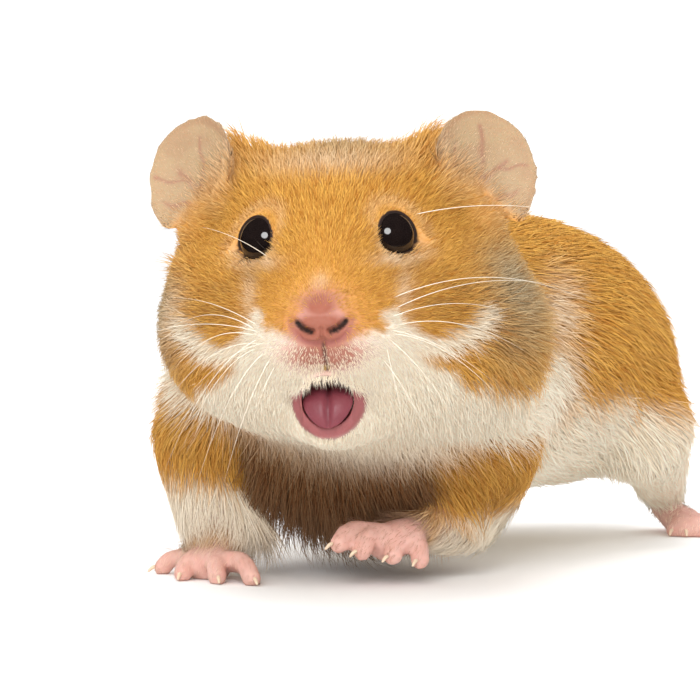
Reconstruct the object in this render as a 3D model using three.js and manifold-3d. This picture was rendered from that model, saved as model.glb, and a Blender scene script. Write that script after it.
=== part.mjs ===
// A life-size Syrian hamster, walking, with its left forepaw just off the ground, its head turned
// to its left and its mouth open. Millimetres, +Z up, the trunk along Y with the nose towards -Y,
// the floor at z = 0 and +X on the animal's left. The surfaces run through the tips of the coat.
import * as THREE from "three";
import { mergeVertices } from "three/addons/utils/BufferGeometryUtils.js";
import Module from "manifold-3d";

const wasm = await Module();
wasm.setup();

// ---- driving sizes ----
const gap = 0.3; // clearance between neighbouring pieces
const trunkHalfWidth = 27.5;
const trunkHalfLength = 42;
const backHeight = 52.5;
const bellyHeight = 8;
const eyeHeight = 49.8;
const eyeSpacing = 17.8; // between the centres of the eyeballs
const eyeRadius = 3.5;
const noseReach = 20.6; // from the eyes to the tip of the nose
const earLength = 19.5;
const earWidth = 15.5;
const earThickness = 1.1;
const earTurn = { right: -44, left: 33 }; // degrees outwards from straight ahead
const headTurn = 24; // degrees to the animal's left
const headRoll = 2; // degrees, left side up
const clawThickness = 0.5;

const vec = (x, y, z) => new THREE.Vector3(x, y, z);
const radians = THREE.MathUtils.degToRad;
const bodyFrame = new THREE.Matrix4();
const headFrame = new THREE.Matrix4() // origin midway between the eyes, x to the animal's left, y backwards
  .makeTranslation(11.4, -48.4, eyeHeight)
  .multiply(new THREE.Matrix4().makeRotationZ(radians(headTurn)))
  .multiply(new THREE.Matrix4().makeRotationY(radians(-headRoll)));
const inHead = (x, y, z) => vec(x, y, z).applyMatrix4(headFrame);

// ---- rounded masses, joined smoothly ----

// An ellipsoid of the given half sizes in a frame; blend is how far it flows into the others.
function mass(frame, centre, halfSizes, blend, tilt = 0) {
  const place = frame
    .clone()
    .multiply(new THREE.Matrix4().makeTranslation(...centre))
    .multiply(new THREE.Matrix4().makeRotationX(radians(tilt)));
  return { inverse: place.invert(), half: vec(...halfSizes), blend };
}

// Signed distance to one ellipsoid, negative inside: |p/h| (|p/h| - 1) / |p/h^2|.
function distanceTo(one, point) {
  const local = point.clone().applyMatrix4(one.inverse).divide(one.half);
  const scaled = local.length();
  const slope = local.divide(one.half).length();
  return slope < 1e-9 ? -one.half.x : (scaled * (scaled - 1)) / slope;
}

// Smooth minimum over all masses, so that neighbours meet in a fillet.
function distanceToAll(masses, point) {
  let nearest = Infinity;
  for (const one of masses) {
    const next = distanceTo(one, point);
    const overlap = Math.max(one.blend - Math.abs(nearest - next), 0) / one.blend;
    nearest = Math.min(nearest, next) - (overlap * overlap * one.blend) / 4;
  }
  return nearest;
}

const both = (make) => [-1, 1].flatMap(make);
const trunkMiddle = (backHeight + bellyHeight) / 2;
const trunkHalfHeight = (backHeight - bellyHeight) / 2;

const bodyMasses = [
  mass(bodyFrame, [0, 18, trunkMiddle], [trunkHalfWidth, trunkHalfLength, trunkHalfHeight], 6), // barrel
  mass(bodyFrame, [0, 33, 36], [19, 28, 15.5], 6), // loins
  mass(bodyFrame, [0, 44, 26], [23, 22, 18.5], 8), // rump
  mass(bodyFrame, [1, -12, 31], [25, 23, 22.5], 8), // chest
  mass(bodyFrame, [6.8, -27, 34.5], [26, 16, 18], 8), // neck ruff
  mass(bodyFrame, [-19.5, -20.5, 27], [11, 15, 12], 6), // right shoulder
  mass(bodyFrame, [17, -13, 26], [9, 13, 12], 6), // left shoulder
];
const headMasses = [
  mass(headFrame, [0, 13, -3], [17.6, 17.2, 15.5], 6), // cranium
  mass(headFrame, [0, 1, -4.8], [7.4, 12, 9], 5), // bridge of the nose
  mass(headFrame, [0, 12.8 - noseReach, -9.6], [8, 12.2, 7], 4, 8), // muzzle
  ...both((side) => mass(headFrame, [side * 4.8, 10.4 - noseReach, -13], [5.9, 7.4, 5.6], 3)), // whisker pads
  ...both((side) => mass(headFrame, [side * 9.6, 1.5, -12.5], [8, 10.5, 9], 6)), // cheeks beside the muzzle
  ...both((side) => mass(headFrame, [side * 13, 9.5, -13], [12, 14.5, 12], 6)), // cheek pouches
  ...both((side) => mass(headFrame, [side * 17.6, 18, -6], [7.2, 9, 9.5], 6)), // below the ears
  ...both((side) => mass(headFrame, [side * 12.6, 17.5, 4.6], [6.6, 6.2, 7.6], 4)), // roots of the ears
  mass(headFrame, [0.6, 18.4 - noseReach, -22.6], [8.2, 9.8, 6.8], 4), // lower jaw
  mass(headFrame, [0, 13, -17], [17, 17, 11], 6), // throat
];
const torsoMasses = [...bodyMasses, ...headMasses];

// ---- turning a capsule into a body ----

// Lays a capsule's axis along the spine and moves each of its points out from there by
// reach(origin, direction, t, forward).
function wrapCapsule(spine, reach, { around, along, capRows }) {
  const geometry = new THREE.CapsuleGeometry(1, 2, capRows, around, along);
  const position = geometry.getAttribute("position");
  const point = vec(0, 0, 0);
  for (let i = 0; i < position.count; i++) {
    point.fromBufferAttribute(position, i);
    const core = THREE.MathUtils.clamp(point.y, -1, 1);
    const t = (core + 1) / 2;
    const origin = spine.getPoint(t);
    const forward = spine.getTangent(t);
    const steady = Math.abs(forward.z) > 0.9 ? vec(0, 1, 0) : vec(0, 0, 1);
    const side = forward.clone().cross(steady).normalize();
    const up = side.clone().cross(forward);
    const direction = side
      .multiplyScalar(point.x)
      .addScaledVector(forward, point.y - core)
      .addScaledVector(up, point.z)
      .normalize();
    origin.addScaledVector(direction, reach(origin, direction, t, forward));
    position.setXYZ(i, origin.x, origin.y, origin.z);
  }
  return solidOf(geometry);
}

// A geometry as a closed solid.
function solidOf(geometry) {
  geometry.deleteAttribute("normal");
  geometry.deleteAttribute("uv");
  const merged = mergeVertices(geometry, 1e-4);
  return new wasm.Manifold(
    new wasm.Mesh({
      numProp: 3,
      vertProperties: new Float32Array(merged.getAttribute("position").array),
      triVerts: new Uint32Array(merged.index.array),
    }),
  );
}

// How far the masses' joint surface, moved out by grow, lies from a point inside them.
function surfaceAlong(masses, grow) {
  const farthest = 60;
  const step = 1;
  return (origin, direction) => {
    const value = (s) => distanceToAll(masses, origin.clone().addScaledVector(direction, s)) - grow;
    let inside = 0;
    while (inside < farthest && value(inside + step) < 0) inside += step;
    let outside = inside + step;
    for (let i = 0; i < 14; i++) {
      const middle = (inside + outside) / 2;
      if (value(middle) < 0) inside = middle;
      else outside = middle;
    }
    return inside;
  };
}

// A rounded limb through the points, whose radius follows the radii; blunt is the length of its
// rounded ends over their radius, and flatten its height over its width.
function limb(points, radii, { around = 12, along = 6, capRows = 3, grow = 0, flatten = 1, blunt = 1 } = {}) {
  const spine = new THREE.CatmullRomCurve3(points);
  const profile = new THREE.CatmullRomCurve3(radii.map((r, i) => vec(i / (radii.length - 1), r, 0)));
  const reach = (origin, direction, t, forward) => {
    const along = direction.dot(forward);
    const across = direction.clone().addScaledVector(forward, -along);
    const squash = Math.hypot(across.x, across.y, across.z / flatten, along / blunt);
    return profile.getPoint(t).y / squash + grow;
  };
  return wrapCapsule(spine, reach, { around, along, capRows });
}

function ellipsoid(frame, centre, halfSizes, { around = 20, rows = 12, grow = 0, tilt = 0 } = {}) {
  const geometry = new THREE.SphereGeometry(1, around, rows)
    .rotateX(Math.PI / 2)
    .scale(...halfSizes.map((half) => half + grow))
    .rotateX(radians(tilt))
    .translate(...centre)
    .applyMatrix4(frame);
  return solidOf(geometry);
}

function block(frame, low, high, tilt = 0) {
  const size = high.map((value, i) => value - low[i]);
  const geometry = new THREE.BoxGeometry(...size)
    .translate(...size.map((value) => value / 2))
    .rotateX(radians(tilt))
    .translate(...low)
    .applyMatrix4(frame);
  return solidOf(geometry);
}

const joined = (solids) => solids.reduce((a, b) => a.add(b));
const belowFloor = block(bodyFrame, [-150, -150, -40], [150, 150, 0]);
const stoodOnFloor = (solid) => solid.subtract(belowFloor);
// The largest piece of a solid that a cut has left with crumbs.
const mainPieceOf = (solid) => solid.decompose().sort((a, b) => b.volume() - a.volume())[0];

// ---- head, neck and trunk, made whole and parted by thin cuts ----

const torsoSpine = new THREE.CatmullRomCurve3([
  inHead(0.2, 9.6 - noseReach, -12.5),
  inHead(0, -1, -11.2),
  inHead(0, 9, -11),
  vec(3.5, -24, 36.5),
  vec(1, -6, 33.5),
  vec(0, 20, 30.5),
  vec(0, 44, 28),
]);
function torso(grow) {
  return wrapCapsule(torsoSpine, surfaceAlong(torsoMasses, grow), { around: 25, along: 24, capRows: 4 });
}

const mouthCavity = (grow) =>
  ellipsoid(headFrame, [0.7, -7.5, -21.6], [5.2, 12, 3.8], { grow, tilt: 8, around: 12, rows: 7 });
const nosePad = (grow) =>
  ellipsoid(headFrame, [-0.1, 2.8 - noseReach, -11.2], [3.6, 2.9, 3.2], { grow, around: 12, rows: 7 });
const eyeCentre = (side) => [(side * eyeSpacing) / 2, 0.6, 0];
const eyeball = (side, grow) =>
  ellipsoid(headFrame, eyeCentre(side), [eyeRadius, eyeRadius, eyeRadius], { grow, around: 12, rows: 7 });
// The opening between the lids, a shallow dish in front of the eyeball.
function lidOpening(side) {
  const [x, y, z] = eyeCentre(side);
  return ellipsoid(headFrame, [x + side * 1.9, y - 2.8, z], [3.6, 3.6, 3.6], { around: 10, rows: 7 });
}

// The two upper incisors, side by side behind the cleft of the lip.
function upperIncisors(grow) {
  const depth = 7.9 - noseReach;
  const tooth = (side) => {
    const x = side * 0.6;
    const points = [inHead(x, depth, -14.6), inHead(x, depth - 0.6, -16.4), inHead(x, depth - 0.3, -18.2)];
    return limb(points, [0.65, 0.7, 0.55], { around: 6, along: 2, capRows: 1, grow });
  };
  return tooth(-1).add(tooth(1));
}

// The tongue fills the open mouth, arched, with a groove down the middle.
function tongue() {
  const geometry = new THREE.SphereGeometry(1, 12, 9).rotateX(Math.PI / 2);
  const position = geometry.getAttribute("position");
  const [halfWidth, halfLength, halfHeight] = [3.4, 9.5, 3.1];
  const grooveDepth = 0.7;
  const grooveWidth = 0.25;
  for (let i = 0; i < position.count; i++) {
    const [x, y, z] = [position.getX(i), position.getY(i), position.getZ(i)];
    const groove = Math.max(z, 0) * grooveDepth * Math.exp(-((x / grooveWidth) ** 2));
    position.setXYZ(i, x * halfWidth, y * halfLength, z * halfHeight - groove);
  }
  geometry.rotateX(radians(14)).translate(0.8, -1.2, -21.9).applyMatrix4(headFrame);
  return solidOf(geometry).intersect(mouthCavity(-gap));
}

const whole = torso(0);
const grownTorso = torso(gap);
const neckFrame = new THREE.Matrix4()
  .makeTranslation(5, -27, 36)
  .multiply(new THREE.Matrix4().makeRotationZ(radians(15)))
  .multiply(new THREE.Matrix4().makeRotationX(radians(-14)));
const wide = 80;
const inFrontOfNeck = block(neckFrame, [-wide, -wide, -wide], [wide, -4, wide]);
const behindNeck = block(neckFrame, [-wide, 8, -wide], [wide, 3 * wide, wide]);
const neckSpan = block(neckFrame, [-wide, -4 + gap, -wide], [wide, 8 - gap, wide]);
// The lower jaw runs back from the corners of the mouth.
const jawSpan = (grow) =>
  ellipsoid(headFrame, [0.6, -2, -29.4], [10.4, 14.5, 8.8], { grow, around: 12, rows: 7 });

const faceCuts = joined([
  mouthCavity(0),
  nosePad(gap),
  lidOpening(-1),
  lidOpening(1),
  eyeball(-1, gap),
  eyeball(1, gap),
  upperIncisors(gap),
]);
const headWhole = whole.intersect(inFrontOfNeck).subtract(faceCuts);
const head = mainPieceOf(headWhole.subtract(jawSpan(gap)));
const jaw = mainPieceOf(headWhole.intersect(jawSpan(0)));

// ---- ears: thin cupped shells, rounded at the top, that face forwards and outwards ----
function ear(side) {
  const hand = side === "left" ? 1 : -1;
  const geometry = new THREE.SphereGeometry(1, 16, 7).rotateX(Math.PI);
  const position = geometry.getAttribute("position");
  const cupDepth = 3.2;
  for (let i = 0; i < position.count; i++) {
    const [x, y, z] = [position.getX(i), position.getY(i), position.getZ(i)];
    const spread = Math.hypot(x, z);
    const widening = 1 + 0.16 * z; // towards the top
    const cup = -cupDepth * (1.1 * x * x + 0.5 * Math.max(z, 0) ** 2);
    const leaf = y * (earThickness / 2) * (1.15 - 0.25 * spread);
    position.setXYZ(i, (x * earWidth * widening) / 2, leaf + cup, (z * earLength) / 2);
  }
  geometry
    .rotateY(radians(hand * 14)) // leans outwards
    .rotateX(radians(-6))
    .rotateZ(radians(earTurn[side]))
    .translate(hand * 19.1 + 0.5, 16.5, 6.7)
    .applyMatrix4(headFrame);
  return mainPieceOf(solidOf(geometry).subtract(grownTorso));
}

// ---- limbs ----

const digitFloor = 0.7; // height of a digit's centre line where it stands, so that its underside is cut flat
const foreLimbs = {
  right: {
    upperArm: [vec(-21, -24.5, 21), vec(-20.6, -25, 15)],
    upperArmRadii: [10.2, 9],
    forearm: [vec(-20, -25.5, 13), vec(-18, -28, 9.6), vec(-15.8, -30, 6)],
    forearmRadii: [7.4, 6.6, 4.2],
    knuckles: [
      vec(-23.2, -29.6, 2.7),
      vec(-19.2, -33.6, 2.8),
      vec(-14.7, -34.8, 2.8),
      vec(-10.5, -34.6, 2.8),
    ],
    tips: [
      vec(-25.4, -31.4, digitFloor),
      vec(-18.4, -37.4, digitFloor),
      vec(-11.9, -38.6, digitFloor),
      vec(-6.6, -38, digitFloor),
    ],
    clawTurn: 0,
  },
  left: {
    upperArm: [vec(19.4, -12.5, 20), vec(17.4, -7.8, 13.5), vec(15.6, -6.6, 10)],
    upperArmRadii: [8.2, 6, 4.4],
    forearm: [vec(15, -6.2, 7.9), vec(14, -15.5, 8.2), vec(12.6, -23, 9)],
    forearmRadii: [3.7, 4.6, 3.5],
    knuckles: [vec(13.9, -26.1, 5.7), vec(11.5, -28, 6.8), vec(8.6, -30, 7.5), vec(6.1, -31.4, 7.8)],
    tips: [vec(15.2, -28.8, 3.5), vec(12.4, -31.8, 4.2), vec(9, -34.6, 5), vec(6, -36, 6)],
    clawTurn: -30,
  },
};
const hindLimbs = {
  right: {
    hip: vec(-11, 37, 24),
    thighRadii: [15.5, 10.5],
    knee: vec(-19, 24, 18),
    ankle: vec(-18, 42, 6),
    ball: vec(-21.5, 31, 2.1),
    heading: -14,
  },
  left: {
    hip: vec(9.5, 46, 23.5),
    thighRadii: [14.5, 10],
    knee: vec(20, 38, 18),
    ankle: vec(13.6, 61.5, 7),
    ball: vec(18.8, 57.6, 2.1),
    heading: 50,
  },
};
const toeTurns = [-44, -22, -2, 18, 40]; // of the five hind toes, from the foot's own heading
// Where a hind toe ends, on the floor in front of the ball of the foot.
function toeTip(ball, angle, turn) {
  const reach = 6.2 - Math.abs(turn) * 0.03;
  const [across, forward] = [Math.sin(radians(angle)), Math.cos(radians(angle))];
  return vec(ball.x + reach * across, ball.y - reach * forward, digitFloor);
}

// A digit leaves the palm at its root and arches over its knuckle to its tip.
function digit(root, knuckle, tip, grow) {
  const middle = knuckle.clone().lerp(tip, 0.55).setZ(knuckle.z * 0.6 + tip.z * 0.4 + 0.4);
  return limb([root, knuckle, middle, tip], [1.5, 1.4, 1.15, 1.15], { around: 6, along: 3, capRows: 1, grow });
}

// A claw curves out of the end of a digit and down.
function claw(knuckle, tip, turn) {
  const out = tip.clone().sub(knuckle).setZ(0).normalize().applyAxisAngle(vec(0, 0, 1), radians(turn));
  const at = (reach, drop) => tip.clone().addScaledVector(out, reach).add(vec(0, 0, drop));
  const half = clawThickness / 2;
  return limb([at(0.4, 0.4), at(1.4, 0.3), at(2, -0.3)], [half * 1.7, half * 1.3, half], {
    around: 5,
    along: 2,
    capRows: 1,
  });
}

function upperArm(side, grow) {
  const { upperArm: points, upperArmRadii: radii } = foreLimbs[side];
  return limb(points, radii, { around: 14, along: 2, capRows: 4, grow, blunt: 0.75 });
}
function forearm(side, grow) {
  const { forearm: points, forearmRadii: radii } = foreLimbs[side];
  return limb(points, radii, { around: 12, along: 4, capRows: 2, grow, blunt: 0.45 });
}
function forepaw(side, grow) {
  const { forearm: points, knuckles, tips, clawTurn } = foreLimbs[side];
  const centre = knuckles.reduce((sum, point) => sum.add(point), vec(0, 0, 0)).divideScalar(knuckles.length);
  const pads = centre.clone().add(vec(0, 0, -0.9));
  const shape = { around: 10, along: 2, capRows: 2, grow, flatten: 0.55, blunt: 0.6 };
  const palm = limb([points.at(-1), pads], [2.8, 4], shape);
  const roots = knuckles.map((knuckle) => knuckle.clone().lerp(centre, 0.5));
  const digits = knuckles.map((knuckle, i) => digit(roots[i], knuckle, tips[i], grow));
  const claws = knuckles.map((knuckle, i) => claw(knuckle, tips[i], clawTurn));
  return { solid: joined([palm, ...digits]), claws };
}

function thigh(side, grow) {
  const { hip, knee, thighRadii } = hindLimbs[side];
  return limb([hip, knee], thighRadii, { around: 16, along: 2, capRows: 4, grow });
}
function shank(side, grow) {
  const { knee, ankle } = hindLimbs[side];
  const middle = knee.clone().lerp(ankle, 0.5);
  return limb([knee, middle, ankle], [8.5, 6.2, 3.6], { around: 12, along: 4, capRows: 2, grow, blunt: 0.6 });
}
function hindFoot(side, grow) {
  const { ankle, ball, heading } = hindLimbs[side];
  const tips = toeTurns.map((turn) => toeTip(ball, heading + turn, turn));
  const knuckleOf = (tip) => ball.clone().lerp(tip, 0.35).setZ(2.1);
  const heel = ankle.clone().setZ(ankle.z * 0.55);
  const sole = limb([heel, ball], [2.5, 3.2], { around: 10, along: 2, capRows: 2, grow, flatten: 0.7 });
  const toes = tips.map((tip) => digit(ball, knuckleOf(tip), tip, grow));
  return { solid: joined([sole, ...toes]), claws: tips.map((tip) => claw(knuckleOf(tip), tip, 0)) };
}

const tailPoints = [vec(0, 60, 22), vec(0, 67, 19), vec(0.5, 73, 15)];
const tailShape = limb(tailPoints, [3, 2.3, 1.4], { around: 8, along: 4, capRows: 2 });

// ---- materials ----
const finish = (name, color, roughness) => {
  const made = new THREE.MeshStandardMaterial({ color, roughness, metalness: 0 });
  made.name = name;
  return made;
};
const goldenCoat = finish("golden_coat", 0xcf9348, 0.9);
const whiteCoat = finish("white_coat", 0xe9ddc9, 0.9);
const bareSkin = finish("bare_skin", 0xdf9a8b, 0.55);
const earSkin = finish("ear_skin", 0xd0ad80, 0.7);
const mouthSkin = finish("mouth_skin", 0xa8505a, 0.35);
const eyeBlack = finish("eye_black", 0x0a0708, 0.05);
const toothEnamel = finish("tooth_enamel", 0xc99a3f, 0.3);
const clawHorn = finish("claw_horn", 0xeadfb8, 0.4);

// ---- the animal ----
const animal = new THREE.Group();
function node(name, solid, material) {
  const { vertProperties, triVerts, numProp, numVert } = solid.getMesh();
  const points = new Float32Array(numVert * 3);
  for (let i = 0; i < numVert; i++) points.set(vertProperties.subarray(i * numProp, i * numProp + 3), i * 3);
  const geometry = new THREE.BufferGeometry();
  geometry.setAttribute("position", new THREE.BufferAttribute(points, 3));
  geometry.setIndex(new THREE.BufferAttribute(triVerts, 1));
  geometry.computeVertexNormals();
  const mesh = new THREE.Mesh(geometry, material);
  mesh.name = name;
  animal.add(mesh);
}

const trunk = whole.intersect(behindNeck);
const neck = whole.intersect(neckSpan);
const outsideTorso = (solid) => mainPieceOf(stoodOnFloor(solid.subtract(grownTorso)));
for (const side of ["right", "left"]) {
  const paw = forepaw(side, 0);
  const grownPaw = forepaw(side, gap).solid;
  node(`upper_arm_${side}`, outsideTorso(upperArm(side, 0)), goldenCoat);
  const foreCut = forearm(side, 0).subtract(upperArm(side, gap)).subtract(grownPaw);
  node(`forearm_${side}`, outsideTorso(foreCut), whiteCoat);
  node(`forepaw_${side}`, outsideTorso(paw.solid), bareSkin);
  paw.claws.forEach((one, i) =>
    node(`foreclaw_${side}_${i + 1}`, mainPieceOf(stoodOnFloor(one.subtract(grownPaw))), clawHorn),
  );

  const foot = hindFoot(side, 0);
  const grownFoot = hindFoot(side, gap).solid;
  node(`thigh_${side}`, outsideTorso(thigh(side, 0)), goldenCoat);
  const shankCut = shank(side, 0).subtract(thigh(side, gap)).subtract(grownFoot);
  node(`shank_${side}`, outsideTorso(shankCut), whiteCoat);
  node(`hind_foot_${side}`, outsideTorso(foot.solid), bareSkin);
  foot.claws.forEach((one, i) =>
    node(`hindclaw_${side}_${i + 1}`, mainPieceOf(stoodOnFloor(one.subtract(grownFoot))), clawHorn),
  );

  node(`ear_${side}`, ear(side), earSkin);
  node(`eye_${side}`, eyeball(side === "left" ? 1 : -1, 0), eyeBlack);
}
node("head", head, goldenCoat);
node("jaw", jaw, whiteCoat);
node("nose", nosePad(0), bareSkin);
node("tongue", mainPieceOf(tongue()), mouthSkin);
node("upper_incisors", upperIncisors(0), toothEnamel);
node("neck", mainPieceOf(neck), goldenCoat);
node("trunk", mainPieceOf(trunk), goldenCoat);
node("tail", mainPieceOf(tailShape.subtract(grownTorso)), bareSkin);

// The origin is on the floor, under the middle of the whole animal.
const bounds = new THREE.Box3().setFromObject(animal);
const middle = bounds.getCenter(vec(0, 0, 0));
animal.position.set(-middle.x, -middle.y, 0);

export default animal;
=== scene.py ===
import math

import bmesh
import bpy
import numpy as np
from mathutils import Matrix, Vector


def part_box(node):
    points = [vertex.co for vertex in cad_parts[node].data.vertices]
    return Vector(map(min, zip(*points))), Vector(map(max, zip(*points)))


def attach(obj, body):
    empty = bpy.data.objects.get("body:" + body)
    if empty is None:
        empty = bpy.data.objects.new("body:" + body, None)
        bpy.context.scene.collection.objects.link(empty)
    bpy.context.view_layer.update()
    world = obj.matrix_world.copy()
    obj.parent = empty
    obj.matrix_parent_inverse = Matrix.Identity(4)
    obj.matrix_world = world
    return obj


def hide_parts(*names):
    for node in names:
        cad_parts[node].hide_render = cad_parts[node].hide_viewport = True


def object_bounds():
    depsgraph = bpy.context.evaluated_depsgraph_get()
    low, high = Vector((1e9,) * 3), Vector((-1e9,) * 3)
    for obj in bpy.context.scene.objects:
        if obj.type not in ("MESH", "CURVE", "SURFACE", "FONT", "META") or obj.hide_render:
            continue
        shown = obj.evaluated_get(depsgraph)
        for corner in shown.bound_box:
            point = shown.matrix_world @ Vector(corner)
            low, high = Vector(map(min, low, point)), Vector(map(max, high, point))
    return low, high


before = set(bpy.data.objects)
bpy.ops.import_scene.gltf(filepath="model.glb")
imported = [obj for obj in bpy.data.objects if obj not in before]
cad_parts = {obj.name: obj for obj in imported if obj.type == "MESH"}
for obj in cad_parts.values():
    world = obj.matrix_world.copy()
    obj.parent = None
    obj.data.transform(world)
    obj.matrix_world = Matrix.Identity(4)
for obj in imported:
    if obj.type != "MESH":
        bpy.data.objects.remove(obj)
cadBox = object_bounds()
aboveFloor = 0.02  # in millimetres, for the lowest points of the skin
mm = 0.001  # every shape below is worked out in millimetres
hands = {"right": -1, "left": 1}  # which way along the head's x each side of the animal lies


# small sums

def unit(vectors):
    # each vector over its own length
    return vectors / np.maximum(np.linalg.norm(vectors, axis=-1, keepdims=True), 1e-9)


def distance(points, place):
    # how far each point is from one place
    return np.linalg.norm(points - np.array(place), axis=1)


def laidInto(ways, normals):
    # directions with their part along the normals taken away
    return unit(ways - (ways * normals).sum(1)[:, None] * normals)


def cornersOf(values, faces):
    # what each face's three corners have, one list for each corner
    return (values[faces[:, corner]] for corner in range(3))


def rise(low, high, value):
    # 0 below low, 1 above high, and a smooth S between
    share = np.clip((value - low) / (high - low), 0, 1)
    return share * share * (3 - 2 * share)


def blob(points, centre, halfSizes):
    # 1 at the centre, falling off as a bell along each axis
    return np.exp(-np.sum(((points - np.array(centre)) / np.array(halfSizes)) ** 2, axis=-1))


def ripple(points, size, seed):
    # a smooth unevenness about size across, from -1 to 1: six sine waves in seeded directions, added
    rng = np.random.default_rng(seed)
    total = 0
    for _ in range(6):
        way = unit(rng.normal(size=3)) * (2 * math.pi / (size * rng.uniform(0.8, 1.7)))
        total = total + np.sin(points @ way + rng.uniform(0, 2 * math.pi))
    return total / 3


def onBothSides(points, centre, halfSizes, signed=False):
    # two such bells, on the animal's right and left; signed makes the right one negative
    return sum((hand if signed else 1) * blob(points, (hand * centre[0], *centre[1:]), halfSizes)
               for hand in hands.values())


def nearLine(points, line):
    # distance from each point to the nearest point of a short line
    return np.sqrt(((points[:, None, :] - line[None, :, :]) ** 2).sum(2).min(1))


def bentLine(start, middle, end, steps=14):
    # quadratic curve through start and end, pulled towards the middle
    start, middle, end = np.array(start), np.array(middle), np.array(end)
    t = np.linspace(0, 1, steps)[:, None]
    return (1 - t) ** 2 * start + 2 * t * (1 - t) * middle + t ** 2 * end


def closeTo(points, line, width):
    # 1 on the line, falling off as a bell across it
    return np.exp(-(nearLine(points, line) / width) ** 2)


# the frame's landmarks

def boxOf(name):
    # a node's lowest and highest corners in millimetres
    low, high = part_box(name)
    return np.array(low) / mm, np.array(high) / mm


def middleOf(name):
    # halfway between a node's corners
    low, high = boxOf(name)
    return (low + high) / 2


eyeMiddles = {"right": middleOf("eye_right"), "left": middleOf("eye_left")}
headX = unit(eyeMiddles["left"] - eyeMiddles["right"])  # to the animal's left
headY = unit(np.cross([0, 0, 1], headX))  # backwards
headZ = np.cross(headX, headY)
headAxes = np.array([headX, headY, headZ])
headOrigin = (eyeMiddles["left"] + eyeMiddles["right"]) / 2 - 0.6 * headY


def toHead(points):
    # places told from the point between the eyes, along the head's own axes
    return (points - headOrigin) @ headAxes.T


def fromHead(points):
    # the way back from the head's own axes
    return np.asarray(points, float) @ headAxes + headOrigin


foreParts, hindParts = ("upper_arm", "forearm", "forepaw"), ("thigh", "shank", "hind_foot")
limbNodes = [f"{part}_{side}" for side in hands for part in foreParts + hindParts]
fleshNodes = ["head", "jaw", "nose", "ear_right", "ear_left", "neck", "trunk", "tail"] + limbNodes


# meshes in and out

def meshArrays(mesh):
    # a mesh's points and its triangles
    points = np.empty(len(mesh.vertices) * 3)
    mesh.vertices.foreach_get("co", points)
    mesh.calc_loop_triangles()
    faces = np.empty(len(mesh.loop_triangles) * 3, int)
    mesh.loop_triangles.foreach_get("vertices", faces)
    return points.reshape(-1, 3), faces.reshape(-1, 3)


def cornerNormals(points, faces):
    # each vertex takes the mean of its faces' normals, larger faces counting more
    a, b, c = cornersOf(points, faces)
    across = np.cross(b - a, c - a)
    total = np.zeros_like(points)
    for axis in range(3):
        for corner in range(3):
            total[:, axis] += np.bincount(faces[:, corner], across[:, axis], len(points))
    return unit(total)


def nodeShell(name, grow):
    # a CAD node's surface in millimetres, its doubles merged, moved out along its normals by grow
    points, faces = meshArrays(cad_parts[name].data)
    points, same = np.unique(np.round(points / mm, 4), axis=0, return_inverse=True)
    faces = same.ravel()[faces]
    faces = faces[(faces != np.roll(faces, 1, axis=1)).all(axis=1)]
    return points + grow * cornerNormals(points, faces), faces


def joinedShells(shells):
    # several shells as one list of points and one of faces
    starts = np.cumsum([0] + [len(points) for points, _ in shells[:-1]])
    points = np.concatenate([points for points, _ in shells])
    faces = np.concatenate([faces + start for (_, faces), start in zip(shells, starts)])
    return points, faces


def linked(name, data):
    # a new object in the scene
    made = bpy.data.objects.new(name, data)
    bpy.context.scene.collection.objects.link(made)
    return made


def fill(target, key, values, kind=np.float32):
    # a whole array put into one property of a mesh's elements
    target.foreach_set(key, np.ascontiguousarray(values, kind).ravel())


def newMesh(name, points, faces):
    # a smooth mesh, every face with as many corners as faces has columns
    mesh = bpy.data.meshes.new(name)
    mesh.vertices.add(len(points))
    mesh.loops.add(faces.size)
    mesh.polygons.add(len(faces))
    fill(mesh.vertices, "co", points)
    fill(mesh.loops, "vertex_index", faces, np.int32)
    fill(mesh.polygons, "loop_start", np.arange(0, faces.size, faces.shape[1]), np.int32)
    fill(mesh.polygons, "use_smooth", np.ones(len(faces)), bool)
    mesh.update()
    return mesh


def putPiece(name, points, faces, material, replaces=(), colours=(), form=None, patch=None):
    # makes the piece at the origin, in metres, under the root body, and hides the CAD nodes it replaces;
    # patch is the OFBake map
    mesh = newMesh(name, points * mm, faces)
    for key, values in dict(colours).items():
        fill(mesh.color_attributes.new(key, "FLOAT_COLOR", "POINT").data, "color", values)
    if form is not None:
        fill(mesh.attributes.new("form", "FLOAT_VECTOR", "POINT").data, "vector", form)
    if patch is not None:
        fill(mesh.uv_layers.new(name="OFBake").uv, "vector", patch[faces.ravel()])
    mesh.materials.append(material)
    piece = linked(name, mesh)
    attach(piece, "root")
    if replaces:
        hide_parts(*replaces)
    return piece


def gridFaces(rows, columns):
    # two triangles for each cell of a grid of points whose columns join round
    row, column = np.meshgrid(np.arange(rows - 1), np.arange(columns), indexing="ij")
    a = row * columns + column
    b = row * columns + (column + 1) % columns
    c, d = a + columns, b + columns
    halves = [np.stack(corners, -1).reshape(-1, 3) for corners in ((a, b, d), (a, d, c))]
    return np.concatenate(halves)


def repeated(faces, number, each):
    # the same faces again and again, for copies of each points
    return (faces[None] + (np.arange(number) * each)[:, None, None]).reshape(-1, faces.shape[1])


# materials

def newMaterial(name, **sockets):
    # a material whose shader's own sockets take the values given
    material = bpy.data.materials.new(name)
    material.use_nodes = True
    tree = material.node_tree
    shader = tree.nodes["Principled BSDF"]
    for socket, value in sockets.items():
        shader.inputs[socket.replace("_", " ")].default_value = value
    return material, tree, shader


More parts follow.
